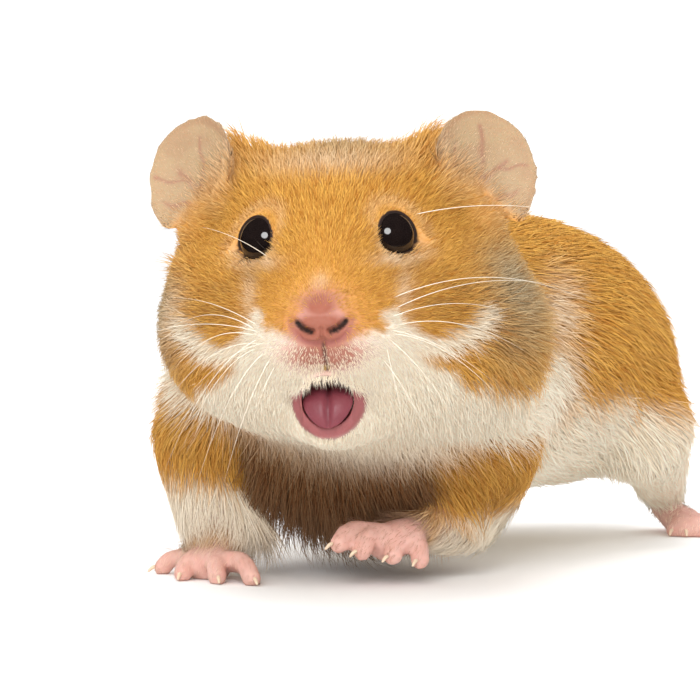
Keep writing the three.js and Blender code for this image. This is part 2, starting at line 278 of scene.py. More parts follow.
def addNode(tree, kind, inputs=(), **settings):
    # a node with its settings; inputs gives numbers, colours or sockets to link, by place or name
    node = tree.nodes.new(kind)
    for key, value in settings.items():
        setattr(node, key, value)
    for key, value in dict(inputs).items():
        if isinstance(value, bpy.types.NodeSocket):
            tree.links.new(value, node.inputs[key])
        else:
            node.inputs[key].default_value = value
    return node


def mixed(tree, share, first, second, blend="MIX"):
    # colour mix: share of the second over the first
    settings = {"data_type": "RGBA", "blend_type": blend}
    return addNode(tree, "ShaderNodeMix", {0: share, 6: first, 7: second}, **settings).outputs[2]


def tinted(tree, colour, tint):
    # one colour times the other
    return mixed(tree, 1.0, colour, tint, "MULTIPLY")


def reckoned(tree, kind, operation, *values, **settings):
    # a Math or Vector Math node
    return addNode(tree, kind, enumerate(values), operation=operation, **settings).outputs[0]


def grain(tree, scale, detail=3.0):
    # noise on Object coordinates, its scale per metre
    place = addNode(tree, "ShaderNodeTexCoord").outputs["Object"]
    settings = {"Vector": place, "Scale": scale, "Detail": detail, "Roughness": 0.55}
    return addNode(tree, "ShaderNodeTexNoise", settings).outputs[0]


def ranged(tree, share, low, high):
    # a number that goes from low to high as share goes from 0 to 1
    return addNode(tree, "ShaderNodeMapRange", {0: share, 3: low, 4: high}).outputs[0]


def attributeParts(tree, name):
    # the four numbers of a colour attribute
    attribute = addNode(tree, "ShaderNodeAttribute", attribute_name=name)
    parts = addNode(tree, "ShaderNodeSeparateColor", {0: attribute.outputs["Color"]}).outputs
    return parts[0], parts[1], parts[2], attribute.outputs["Alpha"]


def raised(tree, shader, height, strength, depth):
    # height turned into bumps on the shader's normal
    inputs = {"Height": height, "Strength": strength, "Distance": depth}
    bump = addNode(tree, "ShaderNodeBump", inputs)
    tree.links.new(bump.outputs[0], shader.inputs["Normal"])


coatTones = {
    "golden": (0.92, 0.475, 0.09, 1),
    "goldenDark": (0.72, 0.305, 0.042, 1),
    "cream": (0.97, 0.91, 0.79, 1),
    "greyOlive": (0.57, 0.455, 0.28, 1),
    # the face's dark spots and stripes, and on the chest the brown fur with painted shade
    "deepBrownAndShade": (0.17, 0.07, 0.03, 1),
    "pink": (0.92, 0.50, 0.42, 1),
    "paleTip": (0.50, 0.34, 0.21, 1),
}
# what a hair's colour is multiplied by, on dark hair and on pale hair
hairShades = {
    "root": ((0.66, 0.56, 0.48, 1), (0.90, 0.85, 0.78, 1)),
    "lightHair": ((1.18, 1.36, 1.6, 1), (1.04, 1.03, 1.0, 1)),
    "darkHair": ((0.74, 0.60, 0.45, 1), (0.84, 0.76, 0.66, 1)),
}
coatFinish = {
    "patchScale": 160,  # golden and dark golden patches, per metre
    "patchContrast": (1.6, -0.35),  # the noise times the first, plus the second
    "patchShare": 0.35,
    "tipShare": 0.45,  # how much paler the ends of the deep brown hairs are
    "tipStart": 0.4,
    "roughness": (0.5, 0.72),  # of dark hairs and of light hairs
    "formShare": 1.3,  # of the body's form in the shading, against 1 of the tuft's own
    "glow": (0.06, 0.18),  # on dark hair and on pale hair
}


def markedColour(tree, pale, grey, deep, bare):
    # the coat's colour from the numbers of the marks attribute
    patches = grain(tree, coatFinish["patchScale"], 2)
    patchy = reckoned(tree, "ShaderNodeMath", "MULTIPLY_ADD", patches, *coatFinish["patchContrast"],
                      use_clamp=True)
    colour = mixed(tree, patchy, coatTones["golden"], coatTones["goldenDark"])
    colour = mixed(tree, coatFinish["patchShare"], coatTones["golden"], colour)
    for share, tone in ((pale, "cream"), (grey, "greyOlive"), (deep, "deepBrownAndShade"), (bare, "pink")):
        colour = mixed(tree, share, colour, coatTones[tone])
    return colour


def makeCoatMaterial():
    # the marks' colour, darker at the roots, a little different from hair to hair, and paler at brown tips
    material, tree, shader = newMaterial("coatHair", Roughness=0.62, Specular_IOR_Level=0.12)
    marks = attributeParts(tree, "marks")
    pale, deep = marks[0], marks[2]
    along, tone, _, _ = attributeParts(tree, "strand")
    shades = {name: mixed(tree, pale, *pair) for name, pair in hairShades.items()}
    colour = markedColour(tree, *marks)
    colour = mixed(tree, along, tinted(tree, colour, shades["root"]), colour)
    colour = mixed(tree, tone, tinted(tree, colour, shades["darkHair"]),
                   tinted(tree, colour, shades["lightHair"]))
    tip = addNode(tree, "ShaderNodeMapRange",
                  {0: along, 1: coatFinish["tipStart"], 4: coatFinish["tipShare"]}).outputs[0]
    paler = reckoned(tree, "ShaderNodeMath", "MULTIPLY", tip, deep)
    colour = mixed(tree, paler, colour, coatTones["paleTip"])
    # the coat is shaded mostly as the body's form below it, so that it looks soft
    under = addNode(tree, "ShaderNodeAttribute", attribute_name="form").outputs["Vector"]
    own = addNode(tree, "ShaderNodeNewGeometry").outputs["Normal"]
    form = reckoned(tree, "ShaderNodeVectorMath", "MULTIPLY", under, [coatFinish["formShare"]] * 3)
    both = reckoned(tree, "ShaderNodeVectorMath", "ADD", form, own)
    # the glow is the light that goes from hair to hair many times, most between pale ones
    links = {"Base Color": colour, "Roughness": ranged(tree, tone, *coatFinish["roughness"]),
             "Normal": reckoned(tree, "ShaderNodeVectorMath", "NORMALIZE", both),
             "Emission Color": colour, "Emission Strength": ranged(tree, pale, *coatFinish["glow"])}
    for socket, value in links.items():
        tree.links.new(value, shader.inputs[socket])
    return material


skinTones = {
    "ear": (0.45, 0.33, 0.18, 1),
    "earFlush": (0.44, 0.29, 0.165, 1),
    "earVein": (0.33, 0.12, 0.085, 1),
    "mouth": (0.20, 0.03, 0.03, 1),
    "lip": (0.33, 0.095, 0.095, 1),
    "nose": (0.30, 0.085, 0.048, 1),
    # near black: the eyelids' own dark rims, and painted shade inside the nostrils and in the cleft below the
    # nose
    "lidRimAndNostrilShade": (0.03, 0.014, 0.010, 1),
    "noseFlush": (0.40, 0.135, 0.085, 1),
    "earShade": (0.36, 0.20, 0.11, 1),
    "pink": (0.80, 0.52, 0.44, 1),
    "pinkFlush": (0.66, 0.31, 0.25, 1),
    "underDark": (0.78, 0.68, 0.62, 1),  # the coat's colour is multiplied by this on the skin below it
    "underPale": (0.93, 0.88, 0.84, 1),
}


skinFinish = {
    "roughness": (0.58, 0.25),  # dry, and inside the mouth
    "flushScale": 420,  # per metre, as the next two
    "poreScale": 2600,
    "foldScale": 900,
    "bumps": (0.35, 0.0002),  # strength and depth
    "scatter": (0.55, 0.12, (0.0012, 0.0005, 0.0003)),  # roughness, weight and radius
}


def makeFleshMaterial(name, roughness, weight, radius):
    # a shader with light scattered under its surface
    made = newMaterial(name, Roughness=roughness, Subsurface_Weight=weight, Subsurface_Scale=1.0)
    made[2].inputs["Subsurface Radius"].default_value = radius
    return made


def makeSkinMaterial():
    # the coat's colour shaded, then over it the bare skin, the muzzle, the ears, the lips, mouth, and the
    # lids' dark rims, with painted shade in the nostrils and the cleft
    material, tree, shader = makeFleshMaterial("hamsterSkin", *skinFinish["scatter"])
    marks = attributeParts(tree, "marks")
    ears, inside, lidRimsAndNostrilShade, _ = attributeParts(tree, "zones")
    veins, earShade, lips, muzzle = attributeParts(tree, "veins")
    flush = grain(tree, skinFinish["flushScale"])
    underCoat = mixed(tree, marks[0], skinTones["underDark"], skinTones["underPale"])
    colour = tinted(tree, markedColour(tree, *marks), underCoat)
    colour = mixed(tree, marks[3], colour, mixed(tree, flush, skinTones["pink"], skinTones["pinkFlush"]))
    nose = mixed(tree, flush, skinTones["nose"], skinTones["noseFlush"])
    colour = mixed(tree, muzzle, colour, nose)
    ear = mixed(tree, flush, skinTones["ear"], skinTones["earFlush"])
    ear = mixed(tree, veins, ear, skinTones["earVein"])
    ear = mixed(tree, earShade, ear, skinTones["earShade"])
    colour = mixed(tree, ears, colour, ear)
    for share, tone in ((lips, "lip"), (inside, "mouth"), (lidRimsAndNostrilShade, "lidRimAndNostrilShade")):
        colour = mixed(tree, share, colour, skinTones[tone])
    tree.links.new(colour, shader.inputs["Base Color"])
    tree.links.new(ranged(tree, inside, *skinFinish["roughness"]), shader.inputs["Roughness"])
    height = reckoned(tree, "ShaderNodeMath", "ADD", grain(tree, skinFinish["poreScale"], 2),
                      grain(tree, skinFinish["foldScale"]))
    raised(tree, shader, height, *skinFinish["bumps"])
    return material


# the parts' shares: how much of each CAD part lies round a point

shareGrid = {"cell": 1.6, "margin": 9.0, "perSquareMm": 5.0, "rounds": 3}


def samplesOn(points, faces, density, rng):
    # places spread over the faces in step, as many as area and density ask for: faces and corner weights
    a, b, c = cornersOf(points, faces)
    wanted = np.linalg.norm(np.cross(b - a, c - a), axis=1) / 2 * density
    reached = np.cumsum(wanted)
    number = int(reached[-1])
    face = np.searchsorted(reached, (np.arange(number) + rng.random(number)) * reached[-1] / number)
    face = np.minimum(face, len(faces) - 1)
    u, v = rng.random((2, number, 1))
    u, v = np.where(u + v > 1, 1 - u, u), np.where(u + v > 1, 1 - v, v)
    return face, np.concatenate([1 - u - v, u, v], axis=1)


def atSamples(values, faces, face, weights):
    # a vertex value read at the samples
    corners = values[faces[face]]
    if values.ndim == 1:
        return (corners * weights).sum(1)
    return (corners * weights[:, :, None]).sum(1)


def makeShareGrid():
    # counts samples of each node's surface in the cells of a grid, blurs the counts and divides by their sum
    cell = shareGrid["cell"]
    low = np.array(cadBox[0]) / mm - shareGrid["margin"]
    high = np.array(cadBox[1]) / mm + shareGrid["margin"]
    shape = np.ceil((high - low) / cell).astype(int)
    counts = np.zeros((len(fleshNodes), *shape))
    for k, name in enumerate(fleshNodes):
        points, faces = nodeShell(name, 0)
        face, weights = samplesOn(points, faces, shareGrid["perSquareMm"], np.random.default_rng(k))
        index = ((atSamples(points, faces, face, weights) - low) / cell).astype(int)
        np.add.at(counts[k], tuple(index.T), 1)
    for axis in (1, 2, 3):
        for _ in range(shareGrid["rounds"]):
            counts = (np.roll(counts, 1, axis) + 2 * counts + np.roll(counts, -1, axis)) / 4
    counts += 1e-7
    return low, cell, counts / counts.sum(0)


gridLow, gridCell, gridShares = makeShareGrid()


def partShares(points):
    # the shares at each point, read between the eight cell centres round it; one row for each flesh node
    place = (points - gridLow) / gridCell - 0.5
    base = np.floor(place).astype(int)
    part = place - base
    total = 0
    for corner in np.ndindex(2, 2, 2):
        weight = np.where(corner, part, 1 - part)
        cell = (base + corner).T
        total = total + weight[:, 0] * weight[:, 1] * weight[:, 2] * gridShares[:, cell[0], cell[1], cell[2]]
    return total


def shareOf(shares, *parts):
    # the shares of the parts added up; a limb's or an ear's name without a side takes both sides
    nodes = [node for part in parts for node in (part, part + "_right", part + "_left") if node in fleshNodes]
    return sum(shares[fleshNodes.index(node)] for node in nodes)


# the skin: the flesh nodes joined, rounded, and drawn in by the depth of the coat

skin = {
    "closeGaps": 0.4,  # how far a furred node swells so that the thin cuts between them close
    "bareSwell": 0.12,  # the same for the nose, which keeps its size
    "earSwell": 0.35,
    "pawSwell": 0.34,  # the toes' soft flesh beyond the CAD part's
    "voxel": 0.45,
    "earRounds": 22,
    "bodyRounds": 120,  # smoothing of the large forms
    "bodyPull": 0.6,  # how far each round of it moves a point towards its neighbours
    "lesserLimbs": 0.25,  # of that smoothing
    "muzzleSpared": 0.85,
    "detailRounds": 6,  # smoothing of the paws, ears and nose
    "detailPulls": (0.5, -0.52),  # in and out by turns, so that thin digits keep their thickness
    "faceDepth": (0.35, 0.65),  # the coat's depth at the tip of the nose, and what it grows by beyond
    "earFront": ((18.5, 11.5, 1.5), (6, 6, 7)),  # where the head falls back before the ears
    "earFrontDepth": 2.2,
    "eyeSpared": 0.8,  # of the coat's depth
    "swellTaken": 0.8,  # of what the nodes were swollen by
    "thinnedTo": 125000,  # triangles left before the features are refined
}
bareNodes = ["nose"] + [f"{part}_{side}" for part in ("ear", "forepaw", "hind_foot") for side in hands]


def modified(made):
    # the mesh that an object's modifiers make of it; the object goes
    graph = bpy.context.evaluated_depsgraph_get()
    done = bpy.data.meshes.new_from_object(made.evaluated_get(graph))
    bpy.data.objects.remove(made)
    return done


def remeshed(points, faces, voxel):
    # overlapping shells made one closed surface of even cells
    made = linked("flesh", newMesh("flesh", points, faces))
    blocks = made.modifiers.new("blocks", "REMESH")
    blocks.mode = "VOXEL"
    blocks.voxel_size = voxel
    return modified(made)


def edgesOf(faces):
    # each edge once, as a pair of points
    pairs = np.concatenate([faces[:, [0, 1]], faces[:, [1, 2]], faces[:, [2, 0]]])
    return np.unique(np.sort(pairs, axis=1), axis=0)


def relaxed(values, edges, weight, rounds):
    # each round moves every value towards the mean of its neighbours by its weight
    count = np.bincount(edges.ravel(), minlength=len(values))
    flat = values.reshape(len(values), -1).copy()
    weight = np.broadcast_to(weight, len(values))[:, None]
    one, other = edges.T
    size = len(flat)
    for _ in range(rounds):
        total = np.stack([np.bincount(one, column[other], size) + np.bincount(other, column[one], size)
                          for column in flat.T], axis=1)
        flat += weight * (total / count[:, None] - flat)
    return flat.reshape(values.shape)


# for each part: the coat's depth, and the tufts' length, width, lift and number to a square millimetre
coatColumns = ("depth", "length", "width", "lift", "density")
coatOf = {
    "head": (0.75, 2.9, 0.105, 0.20, 13.2),
    "jaw": (0.5, 2.0, 0.09, 0.22, 17.0),
    "nose": (0.05, 0.6, 0.05, 0.25, 6.0),
    "ear": (0.0, 0.55, 0.035, 0.15, 4.0),
    "neck": (1.9, 6.6, 0.125, 0.15, 7.2),
    "trunk": (2.0, 7.0, 0.18, 0.15, 3.0),
    "tail": (0.2, 1.4, 0.08, 0.25, 5.0),
    "upper_arm": (1.5, 5.0, 0.13, 0.17, 7.0),
    "forearm": (0.7, 4.8, 0.085, 0.33, 12.0),
    "forepaw": (0.0, 0.9, 0.045, 0.25, 11.0),
    "thigh": (1.9, 6.0, 0.17, 0.16, 3.4),
    "shank": (0.9, 3.2, 0.12, 0.22, 7.0),
    "hind_foot": (0.0, 0.9, 0.045, 0.25, 9.0),
}


def coatField(shares, what):
    # the parts' numbers, mixed by their shares
    column = coatColumns.index(what)
    kinds = [node.removesuffix("_right").removesuffix("_left") for node in fleshNodes]
    return sum(share * coatOf[kind][column] for share, kind in zip(shares, kinds))


eyeSet = {
    "radius": 3.52,
    "inset": {"right": 0.25, "left": 0.9},  # how far each eyeball sits in towards the nose
    "turn": 42.0,  # degrees that each eye looks out to the side
    "rise": 4.0,
    "drop": 0.64,
    "forward": 0.9,
    "hollowBelow": 1.2,  # how far the skin below each eye falls back
    "hollow": ((0.9, -3.4, -3.5), (3.2, 3.4, 1.8)),  # its place from the eye's middle, and half sizes
    "aperture": 60.0,  # degrees from the middle of the eye to the edge of the lids
    "slant": 62.0,  # degrees from the nose's side up to the longer way of the opening
    "innerCorner": 0.08,  # how much wider the opening is, in parts, at its corners and below
    "longerWay": 0.06,
    "outerCorner": -0.17,
    "lowerLid": 0.2,
    "rim": 0.3,  # how far the lids' edge stands off the eyeball
    "sink": 0.55,  # how far the skin inside the opening lies below the eyeball's surface
    "slope": 0.035,  # how fast the rim comes down, by the degree
}
for side, hand in hands.items():
    eyeMiddles[side] = (eyeMiddles[side] - hand * eyeSet["inset"][side] * headX
                        - eyeSet["drop"] * headZ - eyeSet["forward"] * headY)


def eyeFrame(side):
    # centre, outward axis, and the two directions across it: towards the nose and up
    turn, lift = math.radians(eyeSet["turn"]), math.radians(eyeSet["rise"])
    sideways, forwards = math.sin(turn) * math.cos(lift), math.cos(turn) * math.cos(lift)
    axis = np.array([hands[side] * sideways, -forwards, math.sin(lift)])
    across = unit(np.cross([0, 0, 1.0], axis)) * -hands[side]
    up = unit(np.cross(axis, across))
    return toHead(eyeMiddles[side]), axis, across, up * np.sign(up[2])


def lidShape(points, side):
    # angle past the lids' edge, in degrees: an aperture almost round, drawn out at its two corners
    centre, axis, across, up = eyeFrame(side)
    offset = points - centre
    reach = distance(offset, 0)
    angle = np.degrees(np.arccos(np.clip(offset @ axis / np.maximum(reach, 1e-6), -1, 1)))
    about = np.arctan2(offset @ up, offset @ across)
    inner, outer = np.maximum(np.cos(about + 0.8), 0) ** 10, np.maximum(-np.cos(about), 0) ** 2
    longer, below = np.cos(2 * (about - math.radians(eyeSet["slant"]))), np.maximum(-np.sin(about), 0) ** 2
    wider = (1 + eyeSet["innerCorner"] * inner + eyeSet["longerWay"] * longer
             + eyeSet["outerCorner"] * outer + eyeSet["lowerLid"] * below)
    return angle - eyeSet["aperture"] * wider, reach, offset


def withLids(points):
    # inside the lids' edge the skin drops into the eyeball, and at the edge it stands off as a thin rim
    for side, hand in hands.items():
        place, halfSizes = eyeSet["hollow"]
        hollow = blob(points, toHead(eyeMiddles[side]) + np.array(place) * [hand, 1, 1], halfSizes)
        points = points + eyeSet["hollowBelow"] * hollow[:, None] * [0, 1, 0]
        past, reach, offset = lidShape(points, side)
        radius = eyeSet["radius"]
        rim = radius + eyeSet["rim"] - eyeSet["slope"] * np.maximum(past - 4, 0)
        inside = radius - eyeSet["sink"]
        shaped = inside + (rim - inside) * rise(-9, 1, past)
        outside = np.maximum(reach, rim)
        wanted = np.where(past < 2, shaped, shaped + (outside - shaped) * rise(2, 10, past))
        near = 1 - rise(radius + 2.2, radius + 4.0, reach)
        moved = reach + (wanted - reach) * near
        points = points + offset * ((moved / np.maximum(reach, 1e-6)) - 1)[:, None]
    return points


noseShape = {
    "middle": (-0.1, -17.8, -11.2),
    "nostril": ((3.2, 0.05), (2.5, -0.9), (1.35, -1.2)),  # across and up from the middle: outer end to inner
    "wing": ((4.1, 0.2), (3.4, -2.7), (0.5, -2.7)),  # the crease round the lobe below each nostril
    "nostrilDepth": 1.25,
    "nostrilWidth": 0.5,
    "wingWidth": 0.4,
    "creaseDepth": 0.45,
    "cleft": ((0.0, -12.2), (0.05, -14.5), (0.0, -17.6)),
    "cleftWidth": 0.42,
    "cleftDepth": 0.55,
    "lobe": ((1.7, -18.5, -13.3), (1.2, 2.5, 0.7)),  # below each nostril: middle and half sizes
    "lobeHeight": 0.3,
    "rimOver": 0.95,  # how far the raised rim lies above the nostril
    "rimWidth": 0.6,
    "rimHeight": 0.3,
}


def noseLine(kind, hand):
    # a nostril's or a wing's bent line, across and up on the face
    x, _, z = noseShape["middle"]
    return bentLine(*[(x + hand * a, z + b) for a, b in noseShape[kind]])


def noseMarks(points):
    # closeness to the nostrils and to the cleft below them, 0 to 1, for points in the head's own frame
    flat = points[:, [0, 2]]
    front = rise(-12.5, -14.5, points[:, 1])
    nostrils, creases = (
        sum(closeTo(flat, noseLine(kind, hand), noseShape[kind + "Width"]) for hand in hands.values()) * front
        for kind in ("nostril", "wing"))
    cleft = closeTo(flat, bentLine(*noseShape["cleft"]), noseShape["cleftWidth"])
    return nostrils, cleft * rise(-9.5, -11, points[:, 1]), creases


mouth = {
    "hollow": ((0.7, -7.5, -21.6), (5.2, 12.0, 3.8)),  # the CAD part's: middle and half sizes
    "middle": (-0.35, -7.5, -21.6),
    "halfSizes": (3.75, 12.0, 3.8),
    "tilt": 8.0,
    "lipRise": 0.35,
}


def mouthDepth(points):
    # below 1 inside the mouth's hollow, 1 on its wall
    tilt = math.radians(mouth["tilt"])
    offset = points - np.array(mouth["middle"])
    y = offset[:, 1] * math.cos(tilt) + offset[:, 2] * math.sin(tilt)
    z = -offset[:, 1] * math.sin(tilt) + offset[:, 2] * math.cos(tilt)
    turned = np.stack([offset[:, 0], y, z], axis=1) / np.array(mouth["halfSizes"])
    return distance(turned, 0)


def narrowedMouth(points):
    # draws the corners of the mouth in, fading out a little way round it
    middle, halfSizes = np.array(mouth["hollow"])
    far = distance((points - middle) / halfSizes, 0)
    share = (1 - rise(1.35, 2.9, far)) * rise(2, -3, points[:, 1])
    narrower = mouth["halfSizes"][0] / halfSizes[0]
    made = points.copy()
    made[:, 0] += share * ((narrower - 1) * (points[:, 0] - middle[0]) + mouth["middle"][0] - middle[0])
    return made


def sculptedFace(points, normals):
    # nostrils sunk along the normals with a raised rim above them, the cleft sunk, the lips swollen
    nostrils, cleft, creases = noseMarks(points)
    flat = points[:, [0, 2]]
    front = rise(-12.5, -15, points[:, 1])
    over = [0, noseShape["rimOver"]]
    rims = sum(closeTo(flat, noseLine("nostril", hand) + over, noseShape["rimWidth"])
               for hand in hands.values())
    lobes = onBothSides(points + [0.1, 0, 0], *noseShape["lobe"])
    height = -noseShape["nostrilDepth"] * nostrils - noseShape["cleftDepth"] * cleft
    height += (noseShape["rimHeight"] * rims * front + noseShape["lobeHeight"] * lobes
               - noseShape["creaseDepth"] * creases)
    around = mouthDepth(points)
    lower = rise(-19, -22, points[:, 2])
    lips = np.exp(-((around - 1.12 - 0.12 * lower) / (0.1 + 0.1 * lower)) ** 2) * rise(-4, -7, points[:, 1])
    height = height + mouth["lipRise"] * lips * (0.35 + 0.65 * lower)
    return points + normals * height[:, None]


earShape = {
    "lean": 14.0,  # degrees outwards
    "tipBack": -6.0,
    "turn": {"right": -44.0, "left": 33.0},
    "root": (19.1, 16.5, 6.7),  # middle of the disc, from the point between the eyes
    "halfWidth": 7.75,
    "halfLength": 9.75,
    "widening": 0.16,
    "cup": 3.2,
    "forwards": {"right": 6.0, "left": 0.0},  # degrees that the thinned sheet turns to the front
    "shift": {"right": (0.8, 0, -0.7), "left": (-0.8, 0, -1.4)},
    "squeeze": 0.36,  # the skin's thickness against the solid's
    "rim": 0.3,  # added to the squeeze at the rim
    "growth": 1.16,
    "taller": 0.08,  # growth added upwards
    "wider": 0.12,  # growth added on the crown's side
}


def turnAbout(axis, degrees):
    # the matrix of a turn about one axis
    return np.array(Matrix.Rotation(math.radians(degrees), 3, axis))


def earSheet(across, up):
    # the cupped sheet's place in depth and its half width at each height
    sheet = -earShape["cup"] * (1.1 * across ** 2 + 0.5 * np.maximum(up, 0) ** 2)
    return sheet, earShape["halfWidth"] * (1 + earShape["widening"] * np.clip(up, -1, 1))


def earFrame(side):
    # the middle of the ear's disc and the turns of its own axes
    x, y, z = earShape["root"]
    turned = (turnAbout("Z", earShape["turn"][side]) @ turnAbout("X", earShape["tipBack"])
              @ turnAbout("Y", hands[side] * earShape["lean"]))
    return np.array([hands[side] * x + 0.5, y, z]), turned


def earPlace(points, side):
    # across, off the cupped sheet and up, in the ear's own frame; the first and last are 1 at the rim
    middle, turned = earFrame(side)
    local = (points - middle) @ turned
    up = local[:, 2] / earShape["halfLength"]
    across = local[:, 0] / earSheet(0, up)[1]
    return across, local[:, 1] - earSheet(across, up)[0], up


def earPoint(across, off, up, side):
    # the way back from the ear's own frame, turned to the front and shifted
    middle, turned = earFrame(side)
    sheet, wide = earSheet(across, up)
    local = np.stack([across * wide, off + sheet, up * earShape["halfLength"]], axis=1)
    turned = turnAbout("Z", earShape["forwards"][side]) @ turned
    return local @ turned.T + middle + np.array(earShape["shift"][side])


def withThinEars(points, shares):
    # presses each ear to a thin sheet, spreads it to its full outline and adds its shallow folds
    for side, hand in hands.items():
        near = rise(0.35, 0.8, shareOf(shares, f"ear_{side}"))
        chosen = np.flatnonzero(near > 0)
        near = near[chosen]
        across, off, up = earPlace(points[chosen], side)
        grown = 1 + (earShape["growth"] - 1) * near
        wider = grown + earShape["wider"] * near * rise(0.1, -1, across * hand)
        toRim = np.hypot(across, up)
        ridge = 0.5 * np.exp(-((across * 1.1 + 0.25 * up - 0.32) / 0.10) ** 2) * rise(0.7, -0.2, up)
        ridge += 0.35 * np.exp(-((across * 1.1 - 0.2 * up + 0.38) / 0.09) ** 2) * rise(0.5, -0.4, up)
        ridge += 0.12 * np.sin(9 * across + 4 * up) * rise(1.0, 0.6, toRim)
        off = off * (earShape["squeeze"] + earShape["rim"] * rise(0.82, 0.97, toRim)) - ridge * 0.8
        made = earPoint(across * wider, off, up * (grown + earShape["taller"] * near), side)
        points[chosen] += (made - points[chosen]) * near[:, None]
    return points


def refined(mesh, closeness):
    # cuts in half each edge whose two ends both have a closeness of 2
    work = bmesh.new()
    work.from_mesh(mesh)
    near = closeness(np.array([vertex.co for vertex in work.verts])) >= 2
    chosen = [edge for edge in work.edges if near[edge.verts[0].index] and near[edge.verts[1].index]]
    bmesh.ops.subdivide_edges(work, edges=chosen, cuts=1, use_grid_fill=True)
    bmesh.ops.triangulate(work, faces=work.faces[:])
    work.to_mesh(mesh)
    work.free()
    return meshArrays(mesh)


def featureCloseness(points):
    # 2 at the nose, lips, lids and ears, 1 over the front of the face and the paws, 0 elsewhere
    inHead = toHead(points)
    x, y, z = inHead.T
    level = np.zeros(len(points))
    level[(y < -7) & (z < -2) & (z > -30)] = 1
    for name in bareNodes[1:]:
        low, high = boxOf(name)
        level[((points > low - 1) & (points < high + 1)).all(1)] = 2 if name.startswith("ear") else 1
    for side in hands:
        past, reach, _ = lidShape(inHead, side)
        level[reach < 5.4] = 1
        level[(reach < 4.6) & (np.abs(past) < 12)] = 2
    level[(np.abs(x) < 5) & (y < -13) & (z > -19) & (z < -7)] = 2
    around = mouthDepth(inHead)
    level[(around > 0.85) & (around < 1.35) & (y < -10)] = 2
    return level


def swellOf(name):
    # how far a node's surface moves out before the nodes are joined
    if name.startswith("ear"):
        return skin["earSwell"]
    if "paw" in name or "foot" in name:
        return skin["pawSwell"]
    return skin["bareSwell" if name in bareNodes else "closeGaps"]


def thinned(mesh, keep):
    # the same surface with fewer, larger triangles, save where keep is true
    made = linked("flesh", mesh)
    group = made.vertex_groups.new(name="thin")
    group.add([int(i) for i in np.flatnonzero(~keep)], 1.0, "REPLACE")
    fewer = made.modifiers.new("fewer", "DECIMATE")
    fewer.ratio = min(1, skin["thinnedTo"] / (2 * len(mesh.polygons)))
    fewer.vertex_group = "thin"
    return modified(made)


def fromNoseTip(inHead):
    # distance from the tip of the nose, for points in the head's own frame
    return distance(inHead, (0, -19, -12))


def eyeNearness(points, near, far):
    # 1 up to near from an eye's middle, 0 beyond far
    return np.clip(sum(1 - rise(near, far, distance(points, eyeMiddles[side])) for side in hands), 0, 1)


def makeSkin():
    # joins and remeshes the nodes, smooths them, draws them in by the coat's depth and sculpts the features
    shells = [nodeShell(name, swellOf(name)) for name in fleshNodes]
    shells += [nodeShell(f"eye_{side}", skin["closeGaps"]) for side in hands]
    mesh = remeshed(*joinedShells(shells), skin["voxel"])
    points, faces = meshArrays(mesh)
    edges = edgesOf(faces)
    shares = partShares(points)
    large = shareOf(shares, "head", "neck", "trunk", "upper_arm", "thigh")
    middling = shareOf(shares, "forearm", "shank", "jaw", "tail")
    inHead = narrowedMouth(toHead(points))
    points = fromHead(inHead)
    around = mouthDepth(inHead)
    hollow = 1 - rise(1.05, 1.5, around)
    muzzle = 1 - rise(6, 16, distance(inHead, (0.5, -13, -16)))
    weight = large ** 2 + skin["lesserLimbs"] * middling - skin["muzzleSpared"] * muzzle - hollow
    points = relaxed(points, edges, np.clip(weight, 0.01, 1) * skin["bodyPull"], skin["bodyRounds"])
    points = relaxed(points, edges, 0.5 * shareOf(shares, "ear"), skin["earRounds"])
    for _ in range(skin["detailRounds"]):
        for pull in skin["detailPulls"]:
            points = relaxed(points, edges, pull, 1)
    # the depth of the coat, less at the nose, the mouth and the eyes, and what the nodes were swollen by
    least, growth = skin["faceDepth"]
    face = least + growth * rise(6, 26, fromNoseTip(inHead))
    depth = coatField(shares, "depth") * np.where(shareOf(shares, "head", "jaw") > 0.5, face, 1)
    depth = relaxed(depth * rise(0.95, 1.15, around), edges, 0.5, 6)
    earFront = np.clip(onBothSides(inHead, *skin["earFront"]), 0, 1)
    depth = depth + skin["earFrontDepth"] * earFront * rise(0.6, 0.95, shareOf(shares, "head"))
    swell = sum(shareOf(shares, name) * swellOf(name) for name in fleshNodes)
    swell = swell * (1 - shareOf(shares, "forepaw", "hind_foot"))
    depth = depth * (1 - skin["eyeSpared"] * eyeNearness(points, 4.0, 6.5)) + skin["swellTaken"] * swell
    points = points - cornerNormals(points, faces) * depth[:, None]
    fill(mesh.vertices, "co", points)
    mesh = thinned(mesh, featureCloseness(points) > 0)
    points, faces = refined(mesh, featureCloseness)
    normals = cornerNormals(points, faces) @ headAxes.T
    inHead = withLids(sculptedFace(toHead(points), normals))
    points = fromHead(withThinEars(inHead, partShares(points)))
    points[:, 2] = np.maximum(points[:, 2], aboveFloor)
    edges = edgesOf(faces)
    softer = np.where(featureCloseness(points) > 0, 0.3, 0.0)
    return relaxed(points, edges, softer, 2), faces, edges


skinPoints, skinFaces, skinEdges = makeSkin()
skinNormals = cornerNormals(skinPoints, skinFaces)
skinShares = partShares(skinPoints)
print("skin", len(skinPoints), "points", len(skinFaces), "triangles")


# the markings, the same for skin and coat

